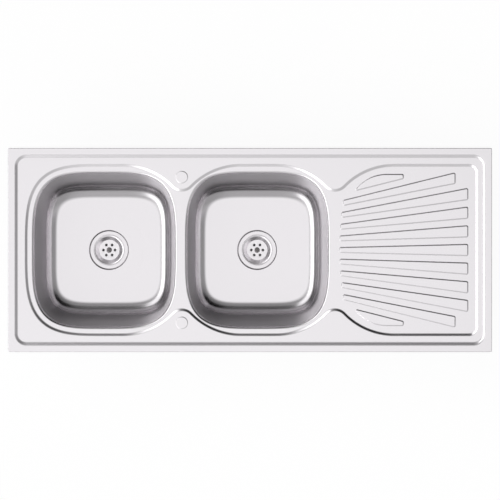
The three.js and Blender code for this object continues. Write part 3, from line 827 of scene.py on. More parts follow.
class Wardrobe:
    """One finish for each material slot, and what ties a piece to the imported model."""

    def __init__(self) -> None:
        """Builds all the materials."""
        grain, slopes = Grain(), PaintedSlopeShade()
        speckle, embossing = Speckle(), Embossing()
        metals = {
            Slot.PRESSED: Metal("pressed_steel", (0.85, 0.826, 0.85), 0.25, 0.02, 0.0001),
            # The drawn bowls carry painted shade on their walls and on their front and back fillets.
            Slot.DRAWN: Metal(
                "drawn_steel", (0.82, 0.796, 0.82), 0.22, 0.02, 0.0002, 700, 0.3,
                painted_slope_shade=0.36, slope_roughness=0.15,
            ),
            Slot.POLISHED: Metal("polished_steel", (0.9, 0.876, 0.9), 0.3, 0.02, 0.0, 700, 1.0),
            Slot.ZINC: Metal("zinc_plate", (0.6, 0.61, 0.62), 0.42, 0.08, 0.0001, 260, 1.0),
            # The screw steel is painted dark, standing in for the shade in the strainer's screw well: painted
            # shade.
            Slot.SCREW: Metal("shade_darkened_screw_steel", (0.2, 0.19, 0.19), 0.4, 0.05, 0.0, 500, 1.0),
            Slot.BRASS: Metal("turned_brass", (0.72, 0.55, 0.24), 0.3, 0.06, 0.0, 600, 0.2),
        }
        mattes = {
            Slot.PLASTIC: Matte("moulded_plastic", (0.8, 0.8, 0.77), 0.45, 0.03, 0.00002),
            Slot.RUBBER: Matte("moulded_rubber", (0.035, 0.035, 0.036), 0.6, 0.2),
            Slot.FOAM: Matte("closed_cell_foam", (0.1, 0.1, 0.103), 0.9, 0.25, 0.0004, 300, 700),
            Slot.BITUMEN: Matte(
                "bitumen_sheet", (0.05, 0.049, 0.048), 0.7, 0.2, 0.0001, 250, 500, pitch=6 * MM
            ),
        }
        self.materials = {slot: metal.material(grain, slopes) for slot, metal in metals.items()}
        self.materials |= {slot: matte.material(speckle, embossing) for slot, matte in mattes.items()}

    def dress(self, piece: bpy.types.Object, node: str, slot: Slot) -> None:
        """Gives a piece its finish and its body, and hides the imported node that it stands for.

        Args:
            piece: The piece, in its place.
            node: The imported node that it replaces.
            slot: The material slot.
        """
        piece.data.materials.clear()
        piece.data.materials.append(self.materials[slot])
        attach(piece, frame["nodes"][node]["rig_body"])
        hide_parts(node)
        LOG.info("%s: %d faces", piece.name, len(piece.data.polygons))


# ---- the pressed deck


@dataclass
class Levels:
    """Heights of the sheet's upper side, and its thickness."""

    rim: float = 4 * MM
    deck: float = 1 * MM
    recess: float = -2 * MM
    lip_end: float = -11 * MM
    bowl_floor: float = -150 * MM
    sheet: float = 0.8 * MM


@dataclass
class BowlShape:
    """The shape that both bowls and the deck's two openings share."""

    levels: Levels
    half_length: float = 172.9 * MM
    half_width: float = 189 * MM
    top_squareness: float = 3.75
    floor_squareness: float = 5.0
    end_draft: float = 7.2
    side_draft: float = 11.6
    end_fillet: float = 32 * MM
    side_fillet: float = 38 * MM
    lip_radius: float = 6 * MM
    steps: int = 192

    def inset(self, height: float, draft: float, fillet: float) -> float:
        """How far a wall has come in at a height above the floor.

        Args:
            height: Height above the bowl's floor.
            draft: The wall's lean in degrees.
            fillet: Radius between the wall and the floor.

        Returns:
            The distance inwards from the wall's top.
        """
        lean = math.radians(draft)
        top = self.levels.recess - self.levels.bowl_floor - self.lip_radius
        if height >= fillet * (1 - math.sin(lean)):
            return (top - height) * math.tan(lean)
        foot = (top - fillet * (1 - math.sin(lean))) * math.tan(lean) + fillet * math.cos(lean)
        return foot - math.sqrt(max(fillet**2 - (fillet - height) ** 2, 0))

    def opening(self, centre: float, grow: float) -> Outline:
        """The opening's outline at the top of the wall, grown outwards."""
        half_length, half_width = self.half_length + grow, self.half_width + grow
        return superellipse(centre, half_length, half_width, self.top_squareness, self.steps)

    def wall(self, centre: float, z: float, grow: float = 0.0) -> Outline:
        """The wall's outline at a level.

        Args:
            centre: The bowl's centre along X.
            z: The level.
            grow: Distance outwards.

        Returns:
            The outline.
        """
        height = max(z - self.levels.bowl_floor, 0)
        top = self.levels.recess - self.levels.bowl_floor - self.lip_radius
        share = min(height / top, 1) ** 0.5
        squareness = self.floor_squareness + (self.top_squareness - self.floor_squareness) * share
        a = self.half_length + grow - self.inset(height, self.end_draft, self.end_fillet)
        b = self.half_width + grow - self.inset(height, self.side_draft, self.side_fillet)
        return superellipse(centre, a, b, squareness, self.steps)


@dataclass
class DrainerDeck:
    """The pressed top sheet with its rim, recess, islands, ribs and bowl openings."""

    levels: Levels
    bowl: BowlShape
    centres: tuple[float, float]
    half_length: float
    half_width: float
    corner_radius: float = 3 * MM
    edge_radius: float = 1.6 * MM
    border_inset: float = 20 * MM
    border_step: float = 11 * MM
    border_corner: float = 25 * MM
    recess_step: float = 8 * MM
    recess_side_inset: float = 42.2 * MM
    recess_end_inset: float = 36.9 * MM
    recess_bowl_margin: float = 18.4 * MM
    recess_corner: float = 19 * MM
    recess_squareness: float = 3.5
    island_offset: float = 190.4 * MM
    island_reach: float = 103.5 * MM
    nose_radius: float = 32 * MM
    shoulder_radius: float = 170 * MM
    blank_radius: float = 14.4 * MM
    blank_inset: float = 71.4 * MM
    blank_rise: float = 0.9 * MM
    rib_count: int = 9
    rib_rise: float = 2 * MM
    rib_step: float = 3 * MM
    rib_start: float = 201.6 * MM
    rib_start_arc: float = 721 * MM
    rib_focus: float = -309.3 * MM
    rib_start_half_width: float = 5.9 * MM
    rib_growth: float = 0.0248
    rib_end_margin: float = 22 * MM
    rib_side_margin: float = 18.6 * MM
    outer_rib_shortening: float = 31.1 * MM
    rib_corner: float = 3.5 * MM
    leaf_start: float = 238.1 * MM
    leaf_length: float = 119.6 * MM
    leaf_margin: float = 22.5 * MM
    leaf_curve: float = 95 * MM
    leaf_tip: float = 2 * MM
    leaf_back_angle: float = 47.5
    edge_steps: int = 6
    lip_steps: int = 10

    @property
    def recess_half_width(self) -> float:
        """Middle of the recess step, front and back."""
        return self.half_width - self.recess_side_inset

    @property
    def recess_right(self) -> float:
        """Middle of the recess step at the drainer end."""
        return self.half_length - self.recess_end_inset

    @property
    def fan_slope(self) -> float:
        """How far each rib moves sideways from its neighbour per metre of run."""
        middle = (self.rib_count - 1) / 2
        end = self.recess_right - self.rib_end_margin - self.outer_rib_shortening - self.centres[1]
        spread = self.rib_start_half_width + self.rib_growth * (end - self.rib_start)
        side = self.recess_half_width - self.rib_side_margin - spread
        return side / (middle * (end - self.rib_focus))

    def recess_outline(self, grow: float) -> Outline:
        """The recess round the bowls and the drainer, drawn in by the islands."""
        nose_y = self.half_width - self.island_reach + self.nose_radius
        shoulder_y = self.recess_half_width - self.shoulder_radius
        reach = self.shoulder_radius + self.nose_radius
        shoulder_x = math.sqrt(reach**2 - (nose_y - shoulder_y) ** 2)
        slant = math.degrees(math.acos(shoulder_x / reach))
        shoulder = self.shoulder_radius + grow
        corner_x = self.recess_right - self.recess_corner
        corner_y = self.recess_half_width - self.recess_corner
        back = arc(corner_x, corner_y, self.recess_corner + grow, 0, 90, 12)
        for centre in reversed(self.centres):
            x = centre + self.island_offset
            back += arc(x + shoulder_x, shoulder_y, shoulder, 90, 180 - slant, 20)
            back += arc(x, nose_y, self.nose_radius - grow, -slant, slant - 180, 28)[1:]
            back += arc(x - shoulder_x, shoulder_y, shoulder, slant, 90, 20)[1:]
        a = self.bowl.half_length + self.recess_bowl_margin + grow
        b = self.recess_half_width + grow
        end = superellipse(self.centres[0], a, b, self.recess_squareness, 96, 90, 270)
        return [*back, *end, *mirrored(back)]

    def rib_outline(self, k: float) -> OutlineAt:
        """The outline of one long rib, counted from the middle one."""

        def sideways(x: float) -> float:
            """The rib's middle line."""
            return k * self.fan_slope * (x - self.centres[1] - self.rib_focus)

        def spread(x: float) -> float:
            """The rib's half width."""
            return self.rib_start_half_width + self.rib_growth * (x - self.centres[1] - self.rib_start)

        start = self.centres[1] + self.rib_start
        x0 = start + sideways(start) ** 2 / (2 * self.rib_start_arc)
        outermost = abs(k) == (self.rib_count - 1) / 2
        x1 = self.recess_right - self.rib_end_margin - (self.outer_rib_shortening if outermost else 0)
        corners = [
            (x0, sideways(x0) - spread(x0)),
            (x1, sideways(x1) - spread(x1)),
            (x1, sideways(x1) + spread(x1)),
            (x0, sideways(x0) + spread(x0)),
        ]
        return lambda grow: rounded_polygon(corners, [self.rib_corner] * 4, grow, 6)

    def leaf_outline(self) -> OutlineAt:
        """The outline of the short rib outside the fan, at the back."""
        k = (self.rib_count + 1) / 2
        slope = k * self.fan_slope - self.rib_growth
        base = k * self.fan_slope * (self.rib_start - self.rib_focus) - self.rib_start_half_width

        def inner(x: float) -> float:
            """The side that follows the fan."""
            return slope * (x - self.centres[1] - self.rib_start) + base

        x0 = self.centres[1] + self.leaf_start
        x1 = x0 + self.leaf_length
        outer = self.recess_half_width - self.leaf_margin
        run = (outer - inner(x0)) / math.tan(math.radians(self.leaf_back_angle))
        corners = [(x0, inner(x0)), (x1, inner(x1)), (x1, outer), (x0 + run, outer)]
        radii = [self.leaf_tip, self.rib_corner, self.rib_corner, self.leaf_curve]
        return lambda grow: rounded_polygon(corners, radii, grow, 16)

    def build(self) -> bpy.types.Object:
        """Builds the sheet from its rim inwards.

        Returns:
            The deck, with its thickness.
        """
        levels = self.levels
        mesh = SheetMesh()

        def edge(grow: float) -> Outline:
            """The outline of the whole sink."""
            return rounded_rectangle(self.half_length, self.half_width, self.corner_radius, grow, 8)

        rings = [mesh.ring(edge(0), 0)]
        for i in range(self.edge_steps + 1):
            angle = math.pi / 2 * i / self.edge_steps
            inset = self.edge_radius * (1 - math.cos(angle))
            rings.append(mesh.ring(edge(-inset), levels.rim - self.edge_radius * (1 - math.sin(angle))))
        rings.append(mesh.ring(edge(-self.edge_radius - GUARD), levels.rim))
        mesh.loft(rings)
        half_x, half_y = self.half_length - self.border_inset, self.half_width - self.border_inset
        border = mesh.step(
            lambda grow: rounded_rectangle(half_x, half_y, self.border_corner, grow, 16),
            self.border_step, levels.rim, levels.deck, 10,
        )
        mesh.flat(rings[-1], [border[0]])
        recess = mesh.step(self.recess_outline, self.recess_step, levels.deck, levels.recess, 10)
        blanks = []
        for side in (1, -1):
            blank = self.blank_outline(side)
            top = levels.deck + self.blank_rise
            blanks.append(mesh.step(blank, 2 * self.blank_rise, levels.deck, top, 6))
            mesh.flat(blanks[-1][-1], [])
        mesh.flat(border[-1], [recess[0], *[b[0] for b in blanks]])
        leaf = self.leaf_outline()
        middle = (self.rib_count - 1) // 2
        outlines = [self.rib_outline(k) for k in range(-middle, middle + 1)]
        outlines += [leaf, lambda grow: mirrored(leaf(grow))]
        holes = []
        for outline in outlines:
            rib = mesh.step(outline, self.rib_step, levels.recess, levels.recess + self.rib_rise, 8)
            mesh.flat(rib[-1], [])
            holes.append(rib[0])
        holes += [self.lip(mesh, centre)[0] for centre in self.centres]
        mesh.flat(recess[-1], holes)
        return mesh.build("deck_sheet", levels.sheet)

    def blank_outline(self, side: int) -> OutlineAt:
        """The outline of a tap-hole blank on the back (1) or front (-1) island."""
        x = self.centres[0] + self.island_offset
        y = side * (self.half_width - self.blank_inset)
        return lambda grow: circle(x, y, self.blank_radius + grow, 64)

    def lip(self, mesh: SheetMesh, centre: float) -> list[list[int]]:
        """Bends the sheet down into a bowl's opening.

        Args:
            mesh: The sheet.
            centre: The bowl's centre along X.

        Returns:
            The lip's rings, outermost first.
        """
        radius = self.bowl.lip_radius
        rings = [mesh.ring(self.bowl.opening(centre, radius + GUARD), self.levels.recess)]
        for i in range(self.lip_steps + 1):
            angle = math.pi / 2 * i / self.lip_steps
            outline = self.bowl.opening(centre, radius * (1 - math.sin(angle)))
            rings.append(mesh.ring(outline, self.levels.recess - radius * (1 - math.cos(angle))))
        rings.append(mesh.ring(self.bowl.wall(centre, self.levels.lip_end), self.levels.lip_end))
        mesh.loft(rings)
        return rings


@dataclass
class Bowl:
    """A drawn bowl with its weld flange, fillets and dished waste seat."""

    side: str
    levels: Levels
    shape: BowlShape
    centre: float
    seat_gap: float = 0.3 * MM
    weld_flange: float = 7.5 * MM
    joggle: float = 2.5 * MM
    dish_radius: float = 50.9 * MM
    dish_depth: float = 3.6 * MM
    dish_width: float = 3.6 * MM
    hole_radius: float = 32.4 * MM
    bend_steps: int = 8
    joggle_steps: int = 4
    wall_steps: int = 12
    fillet_steps: int = 24

    def build(self) -> bpy.types.Object:
        """Builds the bowl from its flange down to the waste hole.

        Returns:
            The bowl, with its thickness.
        """
        levels, shape = self.levels, self.shape
        mesh = SheetMesh()
        shift = levels.sheet + self.seat_gap
        radius = shape.lip_radius - shift
        bend_level = levels.recess - shape.lip_radius
        flange = shape.opening(self.centre, shape.lip_radius + self.weld_flange)
        rings = [mesh.ring(flange, levels.recess - shift)]
        for i in range(self.bend_steps + 1):
            angle = math.pi / 2 * i / self.bend_steps
            grow = shape.lip_radius - radius * math.sin(angle)
            rings.append(mesh.ring(shape.opening(self.centre, grow), bend_level + radius * math.cos(angle)))
        below = levels.lip_end - self.seat_gap
        rings.append(mesh.ring(shape.wall(self.centre, below, shift), below))
        for i in range(1, self.joggle_steps + 1):
            u = i / self.joggle_steps
            z = below - self.joggle * u
            rings.append(mesh.ring(shape.wall(self.centre, z, shift * (1 - u * u * (3 - 2 * u))), z))
        wall_top = below - self.joggle
        wall_foot = levels.bowl_floor + shape.side_fillet
        for i in range(1, self.wall_steps + 1):
            z = wall_top + (wall_foot - wall_top) * i / self.wall_steps
            rings.append(mesh.ring(shape.wall(self.centre, z), z))
        for i in range(1, self.fillet_steps + 1):
            angle = math.pi / 2 * i / self.fillet_steps
            z = levels.bowl_floor + shape.side_fillet * (1 - math.sin(angle))
            rings.append(mesh.ring(shape.wall(self.centre, z), z))
        mesh.loft(rings)
        dish = self.dish(mesh)
        mesh.flat(rings[-1], [dish[0]])
        return mesh.build(f"{self.side}_bowl_sheet", levels.sheet)

    def dish(self, mesh: SheetMesh) -> list[list[int]]:
        """Presses the waste seat into the floor.

        Args:
            mesh: The bowl's sheet.

        Returns:
            The dish's rings, outermost first.
        """
        floor = self.levels.bowl_floor
        seat = floor - self.dish_depth
        middle = self.dish_radius - self.dish_width / 2
        dish = mesh.step(
            lambda grow: circle(self.centre, 0, middle + grow, 96), self.dish_width, floor, seat, 10
        )
        hole = mesh.ring(circle(self.centre, 0, self.hole_radius, 96), seat)
        mesh.loft([dish[-1], hole])
        return dish


@dataclass
class StrainerFlange:
    """A waste flange: rolled rim, conical dish, and a strainer plate with holes and a well."""

    side: str
    centre: float
    top: float
    radius: float = 39 * MM
    thickness: float = 0.8 * MM
    mouth_radius: float = 34.6 * MM
    plate_radius: float = 25.7 * MM
    plate_depth: float = 7.4 * MM
    hole_count: int = 6
    hole_radius: float = 3.1 * MM
    hole_circle: float = 14.7 * MM
    well_radius: float = 7.4 * MM
    well_depth: float = 2.6 * MM
    well_floor_radius: float = 4.6 * MM
    bore_radius: float = 3.35 * MM
    mouth_soft: float = 0.8 * MM
    hole_soft: float = 0.5 * MM

    def build(self) -> bpy.types.Object:
        """Builds the flange as a pressed sheet, from its rolled edge to the screw's bore.

        Returns:
            The flange, with its thickness.
        """
        mesh = SheetMesh()
        plate = self.top - self.plate_depth
        well = plate - self.well_depth
        soft = self.mouth_soft
        profile = [
            (self.radius, self.top - 1.6 * MM),
            (self.radius - 0.1 * MM, self.top - 1.1 * MM),
            (self.radius - 0.4 * MM, self.top - 0.6 * MM),
            (self.radius - 0.8 * MM, self.top - 0.2 * MM),
            (self.radius - 1.3 * MM, self.top),
            (self.radius - 1.6 * MM, self.top - 0.05 * MM),
            (self.mouth_radius + soft, self.top - 0.6 * MM),
            (self.mouth_radius, self.top - 0.9 * MM),
            (self.mouth_radius - soft, self.top - 1.4 * MM),
            (self.plate_radius + 0.8 * MM, plate + 0.5 * MM),
            (self.plate_radius + 0.3 * MM, plate + 0.15 * MM),
            (self.plate_radius, plate),
            (self.plate_radius - GUARD, plate),
        ]
        rings = [mesh.ring(circle(self.centre, 0, r, 96), z) for r, z in profile]
        mesh.loft(rings)
        inner = [
            (self.well_radius + GUARD, plate),
            (self.well_radius, plate),
            (self.well_radius - 0.5 * MM, plate - 0.3 * MM),
            (self.well_floor_radius + 0.3 * MM, well + 0.1 * MM),
            (self.well_floor_radius, well),
            (self.bore_radius, well),
        ]
        core = [mesh.ring(circle(self.centre, 0, r, 48), z) for r, z in inner]
        mesh.loft(core)
        holes = []
        soft = self.hole_soft
        edge = [(soft, 0), (0.7 * soft, 0.06 * soft), (0.3 * soft, 0.3 * soft), (0, soft)]
        for x, y in circle(self.centre, 0, self.hole_circle, self.hole_count):
            hole = [
                mesh.ring(circle(x, y, self.hole_radius + out, 32), plate - down) for out, down in edge
            ]
            mesh.loft(hole)
            holes.append(hole[0])
        mesh.flat(rings[-1], [core[0], *holes])
        return mesh.build(f"{self.side}_strainer_plate", self.thickness)


# ---- the pieces that the bowls hide


@dataclass
class WasteBody:
    """The moulded cup under a bowl, with its screw boss and its threaded tail."""

    top: float
    rim_radius: float = 38 * MM
    rim_height: float = 4 * MM
    cup_bore: float = 29 * MM
    wall: float = 2.4 * MM
    depth: float = 34 * MM
    taper: float = 8 * MM
    collar: float = 3 * MM
    tail_radius: float = 20.6 * MM
    tail_bore: float = 17.4 * MM
    tail_length: float = 26 * MM
    thread_start: float = 2 * MM
    thread_length: float = 17 * MM
    thread_pitch: float = 2.3 * MM
    thread_depth: float = 0.9 * MM
    boss_radius: float = 6.5 * MM
    boss_height: float = 16 * MM
    boss_foot: float = 2.4 * MM
    socket_radius: float = 4.7 * MM
    socket_depth: float = 9.6 * MM
    screw_bore: float = 3.35 * MM
    arms: int = 3
    arm_thickness: float = 3 * MM
    arm_height: float = 11.2 * MM
    gussets: int = 12
    gusset_height: float = 11 * MM
    gusset_thickness: float = 2 * MM
    gusset_toe: float = 2 * MM

    @property
    def cup_bottom(self) -> float:
        """Height of the cup's inner floor."""
        return self.top - self.depth

    @property
    def boss_middle(self) -> float:
        """Height of the middle of the boss."""
        return self.top - self.depth / 2

    def cup(self, name: str) -> bpy.types.Object:
        """The cup and its tail, turned in one."""
        end = self.cup_bottom - self.tail_length
        outer = self.cup_bore + self.wall
        foot = self.cup_bottom - self.wall
        soft = 0.5 * MM
        start = end + self.thread_start
        stop = start + self.thread_length
        thread = Thread(self.tail_radius, start, stop, self.thread_pitch, self.thread_depth)
        profile = [
            (self.tail_bore, end + soft),
            (self.tail_bore + soft, end),
            (self.tail_radius - soft, end),
            (self.tail_radius, end + soft),
            *thread.profile(),
            (self.tail_radius, foot - 0.4 * MM),
            (self.tail_radius + 0.4 * MM, foot),
            (self.tail_radius + self.collar - soft, foot),
            (self.tail_radius + self.collar, foot + soft),
            (outer, self.cup_bottom + self.taper),
            (outer, self.top - self.rim_height - 2 * MM),
            (outer + 0.8 * MM, self.top - self.rim_height - 0.8 * MM),
            (self.rim_radius - soft, self.top - self.rim_height),
            (self.rim_radius, self.top - self.rim_height + soft),
            (self.rim_radius, self.top - soft),
            (self.rim_radius - soft, self.top),
            (self.cup_bore + soft, self.top),
            (self.cup_bore, self.top - soft),
            (self.cup_bore, self.cup_bottom + self.taper),
            (self.tail_radius, self.cup_bottom),
            (self.tail_bore, foot),
        ]
        return turned(name, profile, 72, thread)

    def boss(self) -> bpy.types.Object:
        """The boss, with a hexagonal socket for the insert above a blind hole for the screw's end."""
        low = self.boss_middle - self.boss_height / 2
        high = low + self.boss_height
        boss = plate("boss", round_at(self.boss_radius, 48), low, high, edge=0.5 * MM)
        beyond = high + self.wall
        socket = plate("socket", round_at(self.socket_radius, 6), high - self.socket_depth, beyond)
        combine(boss, socket, "DIFFERENCE")
        bore = plate("bore", round_at(self.screw_bore, 32), low + self.boss_foot, beyond)
        combine(boss, bore, "DIFFERENCE")
        return boss

    def spokes(self) -> list[bpy.types.Object]:
        """The arms that hold the boss, and the gussets between the rim and the cup."""
        reach = self.cup_bore + self.wall / 2
        root = self.boss_radius - 1 * MM
        half = self.arm_thickness / 2
        made = []
        for i in range(self.arms):
            arm = plate(
                "arm", lambda grow: rectangle(root, reach, half + grow),
                self.boss_middle - self.arm_height / 2, self.boss_middle + self.arm_height / 2,
            )
            made.append(moved(arm, Matrix.Rotation(2 * math.pi * i / self.arms + math.pi / 6, 4, "Z")))
        under = self.top - self.rim_height + 0.5 * MM
        foot, toe = under - self.gusset_height, under - self.gusset_toe
        outer = self.rim_radius - 0.6 * MM
        corners = [(reach, under), (reach, foot), (outer, toe), (outer, under)]
        for i in range(self.gussets):
            gusset = plate(
                "gusset", lambda grow: rounded_polygon(corners, [0.5 * MM] * len(corners), grow, 3),
                -self.gusset_thickness / 2, self.gusset_thickness / 2,
            )
            turn = Matrix.Rotation(2 * math.pi * i / self.gussets, 4, "Z")
            made.append(moved(gusset, Matrix.Rotation(math.pi / 2, 4, "X"), turn))
        return made

    def build(self, name: str) -> bpy.types.Object:
        """Joins the cup, the boss, the arms and the gussets.

        Args:
            name: The piece's name.

        Returns:
            The body, about its own axis.
        """
        body = self.cup(name)
        for part in [*self.spokes(), self.boss()]:
            combine(body, part, "UNION")
        return body

@dataclass
class SlottedScrew:
    """A screw with a slotted head: the head's profile runs away from the shank."""

    radius: float
    head_radius: float
    head_height: float
    pitch: float
    depth: float
    slot_width: float = 1.4 * MM
    slot_depth: float = 1.1 * MM
    point: float = 0.8 * MM
    edge: float = 0.5 * MM

    def build(self, name: str, under_head: float, end: float) -> bpy.types.Object:
        """Builds the screw, with its head at whichever end is given.

        Args:
            name: The piece's name.
            under_head: Height of the face under the head.
            end: Height of the screw's point.

        Returns:
            The screw, about its own axis.
        """
        way = 1 if under_head > end else -1
        length = abs(under_head - end)
        thread = Thread(self.radius, self.point, length - self.point, self.pitch, self.depth)
        top = length + self.head_height
        profile = [
            (0, 0),
            (self.radius - self.point, 0),
            *thread.profile(),
            (self.radius, length),
            (self.head_radius - 0.2 * MM, length),
            (self.head_radius, length + 0.2 * MM),
            (self.head_radius, top - self.edge),
            (self.head_radius - 0.3 * self.edge, top - 0.3 * self.edge),
            (self.head_radius - self.edge, top),
            (0, top),
        ]
        screw = turned(name, profile, 32, thread)
        reach = 2 * self.head_radius
        slot = plate(
            "slot", lambda grow: rectangle(-reach, reach, self.slot_width / 2 + grow),
            top - self.slot_depth, top + self.slot_depth, edge=0.1 * MM,
        )
        combine(screw, slot, "DIFFERENCE")
        turn = Matrix.Identity(4) if way > 0 else Matrix.Rotation(math.pi, 4, "X")
        return moved(screw, turn, Matrix.Translation((0, 0, end)))


@dataclass
class WasteOutlet:
    """Everything that clamps through one bowl's floor."""

    wardrobe: Wardrobe
    side: str
    centre: float
    gasket_edge: float = 0.4 * MM
    gasket_bore: float = 34.2 * MM
    insert_radius: float = 4.4 * MM
    insert_bore: float = 3.35 * MM
    insert_edge: float = 0.15 * MM
    screw: SlottedScrew = field(
        default_factory=lambda: SlottedScrew(3 * MM, 4.3 * MM, 2.2 * MM, 1 * MM, 0.5 * MM)
    )

    def node(self, name: str) -> str:
        """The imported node's name for a piece of this outlet."""
        return f"{self.side}_{name}"

    def ring(self, name: str) -> bpy.types.Object:
        """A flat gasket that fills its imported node's height and reaches its edge."""
        low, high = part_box(self.node(name))
        radius = (high.x - low.x) / 2
        return plate(
            f"{self.side}_{name}_ring", round_at(radius, 96), low.z, high.z,
            (round_at(self.gasket_bore, 96),), self.gasket_edge,
        )

    def insert(self) -> bpy.types.Object:
        """The hexagonal brass insert."""
        low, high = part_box(self.node("waste_insert"))
        return plate(
            f"{self.side}_brass_insert", round_at(self.insert_radius, 6), low.z, high.z,
            (round_at(self.insert_bore, 32),), self.insert_edge,
        )

    def build(self) -> None:
        """Builds and dresses the outlet's pieces below the flange."""
        low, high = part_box(self.node("waste_screw"))
        body_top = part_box(self.node("waste_body"))[1].z
        pieces = [
            (self.ring("flange_gasket"), "flange_gasket", Slot.RUBBER),
            (self.ring("body_gasket"), "body_gasket", Slot.RUBBER),
            (WasteBody(body_top).build(f"{self.side}_moulded_body"), "waste_body", Slot.PLASTIC),
            (self.insert(), "waste_insert", Slot.BRASS),
            (
                self.screw.build(f"{self.side}_centre_screw", high.z - self.screw.head_height, low.z),
                "waste_screw", Slot.SCREW,
            ),
        ]
        for piece, name, slot in pieces:
            moved(piece, Matrix.Translation((self.centre, 0, 0)))
            self.wardrobe.dress(piece, self.node(name), slot)


@dataclass
class FixingClip:
    """A folded bracket, a screw and a toothed claw, modelled once and copied to each place."""

    wardrobe: Wardrobe
    count: int = 8
    width: float = 12 * MM
    half_length: float = 12 * MM
    foot: float = 8 * MM
    bracket_sheet: float = 1.6 * MM
    bracket_bend: float = 1.9 * MM
    collar_radius: float = 4.6 * MM
    collar_height: float = 2.2 * MM
    collar_round: float = 1 * MM
    bore: float = 2.85 * MM
    claw_sheet: float = 2 * MM
    claw_bend: float = 1.8 * MM
    claw_hub: float = 7 * MM
    claw_reach: float = 30 * MM
    ramp: tuple[float, float] = (16 * MM, 20 * MM)
    ramp_rise: float = 1.2 * MM
    teeth: int = 3
    tooth_depth: float = 1.8 * MM
    notch_reach: float = 5 * MM
    screw: SlottedScrew = field(
        default_factory=lambda: SlottedScrew(2.5 * MM, 4.6 * MM, 3 * MM, 0.8 * MM, 0.4 * MM)
    )

    def hole(self, low: float, high: float) -> bpy.types.Object:
        """A tool that cuts the screw's hole."""
        return plate("hole", round_at(self.bore, 32), low, high)

    def strip(self, name: str, line: Outline, sheet: float, bend: float) -> bpy.types.Object:
        """A strip folded along a line in the plane of X and Z."""
        half = self.width / 2
        flat = plate(name, folded(line, sheet, bend), -half, half)
        return moved(flat, Matrix.Rotation(math.pi / 2, 4, "X"))

    def bracket(self) -> bpy.types.Object:
        """The bracket, with a pressed collar that takes the thread."""
        low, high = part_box("clip_bracket_1")
        half = self.bracket_sheet / 2
        side, top, web = self.half_length - half, high.z - half, low.z + half
        toe = self.half_length + self.foot
        line = [(-toe, top), (-side, top), (-side, web), (side, web), (side, top), (toe, top)]
        made = self.strip("bracket", line, self.bracket_sheet, self.bracket_bend)
        crown = low.z + self.bracket_sheet + self.collar_height
        radius, round_off, soft = self.collar_radius, self.collar_round, 0.3 * self.collar_round
        profile = [(0, web), (radius, web), (radius, crown - round_off), (radius - soft, crown - soft)]
        profile += [(radius - round_off, crown), (0, crown)]
        combine(made, turned("collar", profile, 48), "UNION")
        combine(made, self.hole(low.z - half, crown + half), "DIFFERENCE")
        return made

    def claw(self) -> bpy.types.Object:
        """The claw, folded up at its end into teeth."""
        low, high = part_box("clip_claw_1")
        half = self.claw_sheet / 2
        level, raised = low.z + half, low.z + half + self.ramp_rise
        end = self.claw_reach - half
        start, stop = self.ramp
        line = [(-self.claw_hub, level), (start, level), (stop, raised), (end, raised), (end, high.z)]
        made = self.strip("claw", line, self.claw_sheet, self.claw_bend)
        combine(made, self.hole(low.z - half, level + self.claw_sheet), "DIFFERENCE")
        pitch = self.width / self.teeth
        inside = self.claw_reach - 2 * self.claw_sheet
        corners = [(-pitch / 3, self.notch_reach), (0, -self.tooth_depth), (pitch / 3, self.notch_reach)]
        upright = Matrix.Rotation(math.pi / 2, 4, "Z") @ Matrix.Rotation(math.pi / 2, 4, "X")
        for i in range(1, self.teeth):
            notch = plate("notch", lambda grow: corners, 0, 3 * self.claw_sheet)
            place = Matrix.Translation((inside, i * pitch - self.width / 2, high.z))
            combine(made, moved(notch, upright, place), "DIFFERENCE")
        return made

    def build(self) -> None:
        """Builds one clip, copies it to all the places, and dresses the copies."""
        low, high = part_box("clip_screw_1")
        screw = self.screw.build("screw", low.z + self.screw.head_height, high.z)
        masters = {
            "bracket": (self.bracket(), Slot.ZINC),
            "screw": (screw, Slot.SCREW),
            "claw": (self.claw(), Slot.ZINC),
        }
        for n in range(1, self.count + 1):
            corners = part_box(f"clip_screw_{n}")
            x, y = sum(c.x for c in corners) / 2, sum(c.y for c in corners) / 2
            for name, (master, slot) in masters.items():
                self.wardrobe.dress(copied(master, f"{name}_{n}_strip", x, y), f"clip_{name}_{n}", slot)
        for master, _ in masters.values():
            bpy.data.objects.remove(master)


@dataclass
class Underside:
    """The foam strip under the rim and the damping sheets under the bowls."""

    wardrobe: Wardrobe
    seal_width: float = 8.4 * MM
    seal_corner: float = 3 * MM
    seal_inner_corner: float = 5 * MM
    seal_edge: float = 0.6 * MM
    pad_corner: float = 24 * MM
    pad_hole: float = 56.9 * MM
    pad_edge: float = 0.5 * MM

    def seal(self) -> None:
        """Builds the foam strip."""
        low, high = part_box("rim_seal")
        inner_x, inner_y = high.x - self.seal_width, high.y - self.seal_width
        outline = block_at(high.x, high.y, self.seal_corner, 8)
        opening = block_at(inner_x, inner_y, self.seal_inner_corner, 8)
        strip = plate("foam_strip", outline, low.z, high.z, (opening,), self.seal_edge)
        self.wardrobe.dress(strip, "rim_seal", Slot.FOAM)

    def pad(self, side: str, centre: float) -> None:
        """Builds the damping sheet under one bowl."""
        low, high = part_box(f"{side}_damping_pad")
        half_x, half_y = (high.x - low.x) / 2, (high.y - low.y) / 2
        sheet = plate(
            f"{side}_embossed_sheet", block_at(half_x, half_y, self.pad_corner, 12), low.z, high.z,
            (round_at(self.pad_hole, 96),), self.pad_edge,
        )
        moved(sheet, Matrix.Translation((centre, 0, 0)))
        self.wardrobe.dress(sheet, f"{side}_damping_pad", Slot.BITUMEN)


# ---- studio


def square(tree: bpy.types.NodeTree, value: bpy.types.NodeSocket) -> bpy.types.NodeSocket:
    """Multiplies a value by itself."""
    return math_node(tree, "MULTIPLY", value, value)


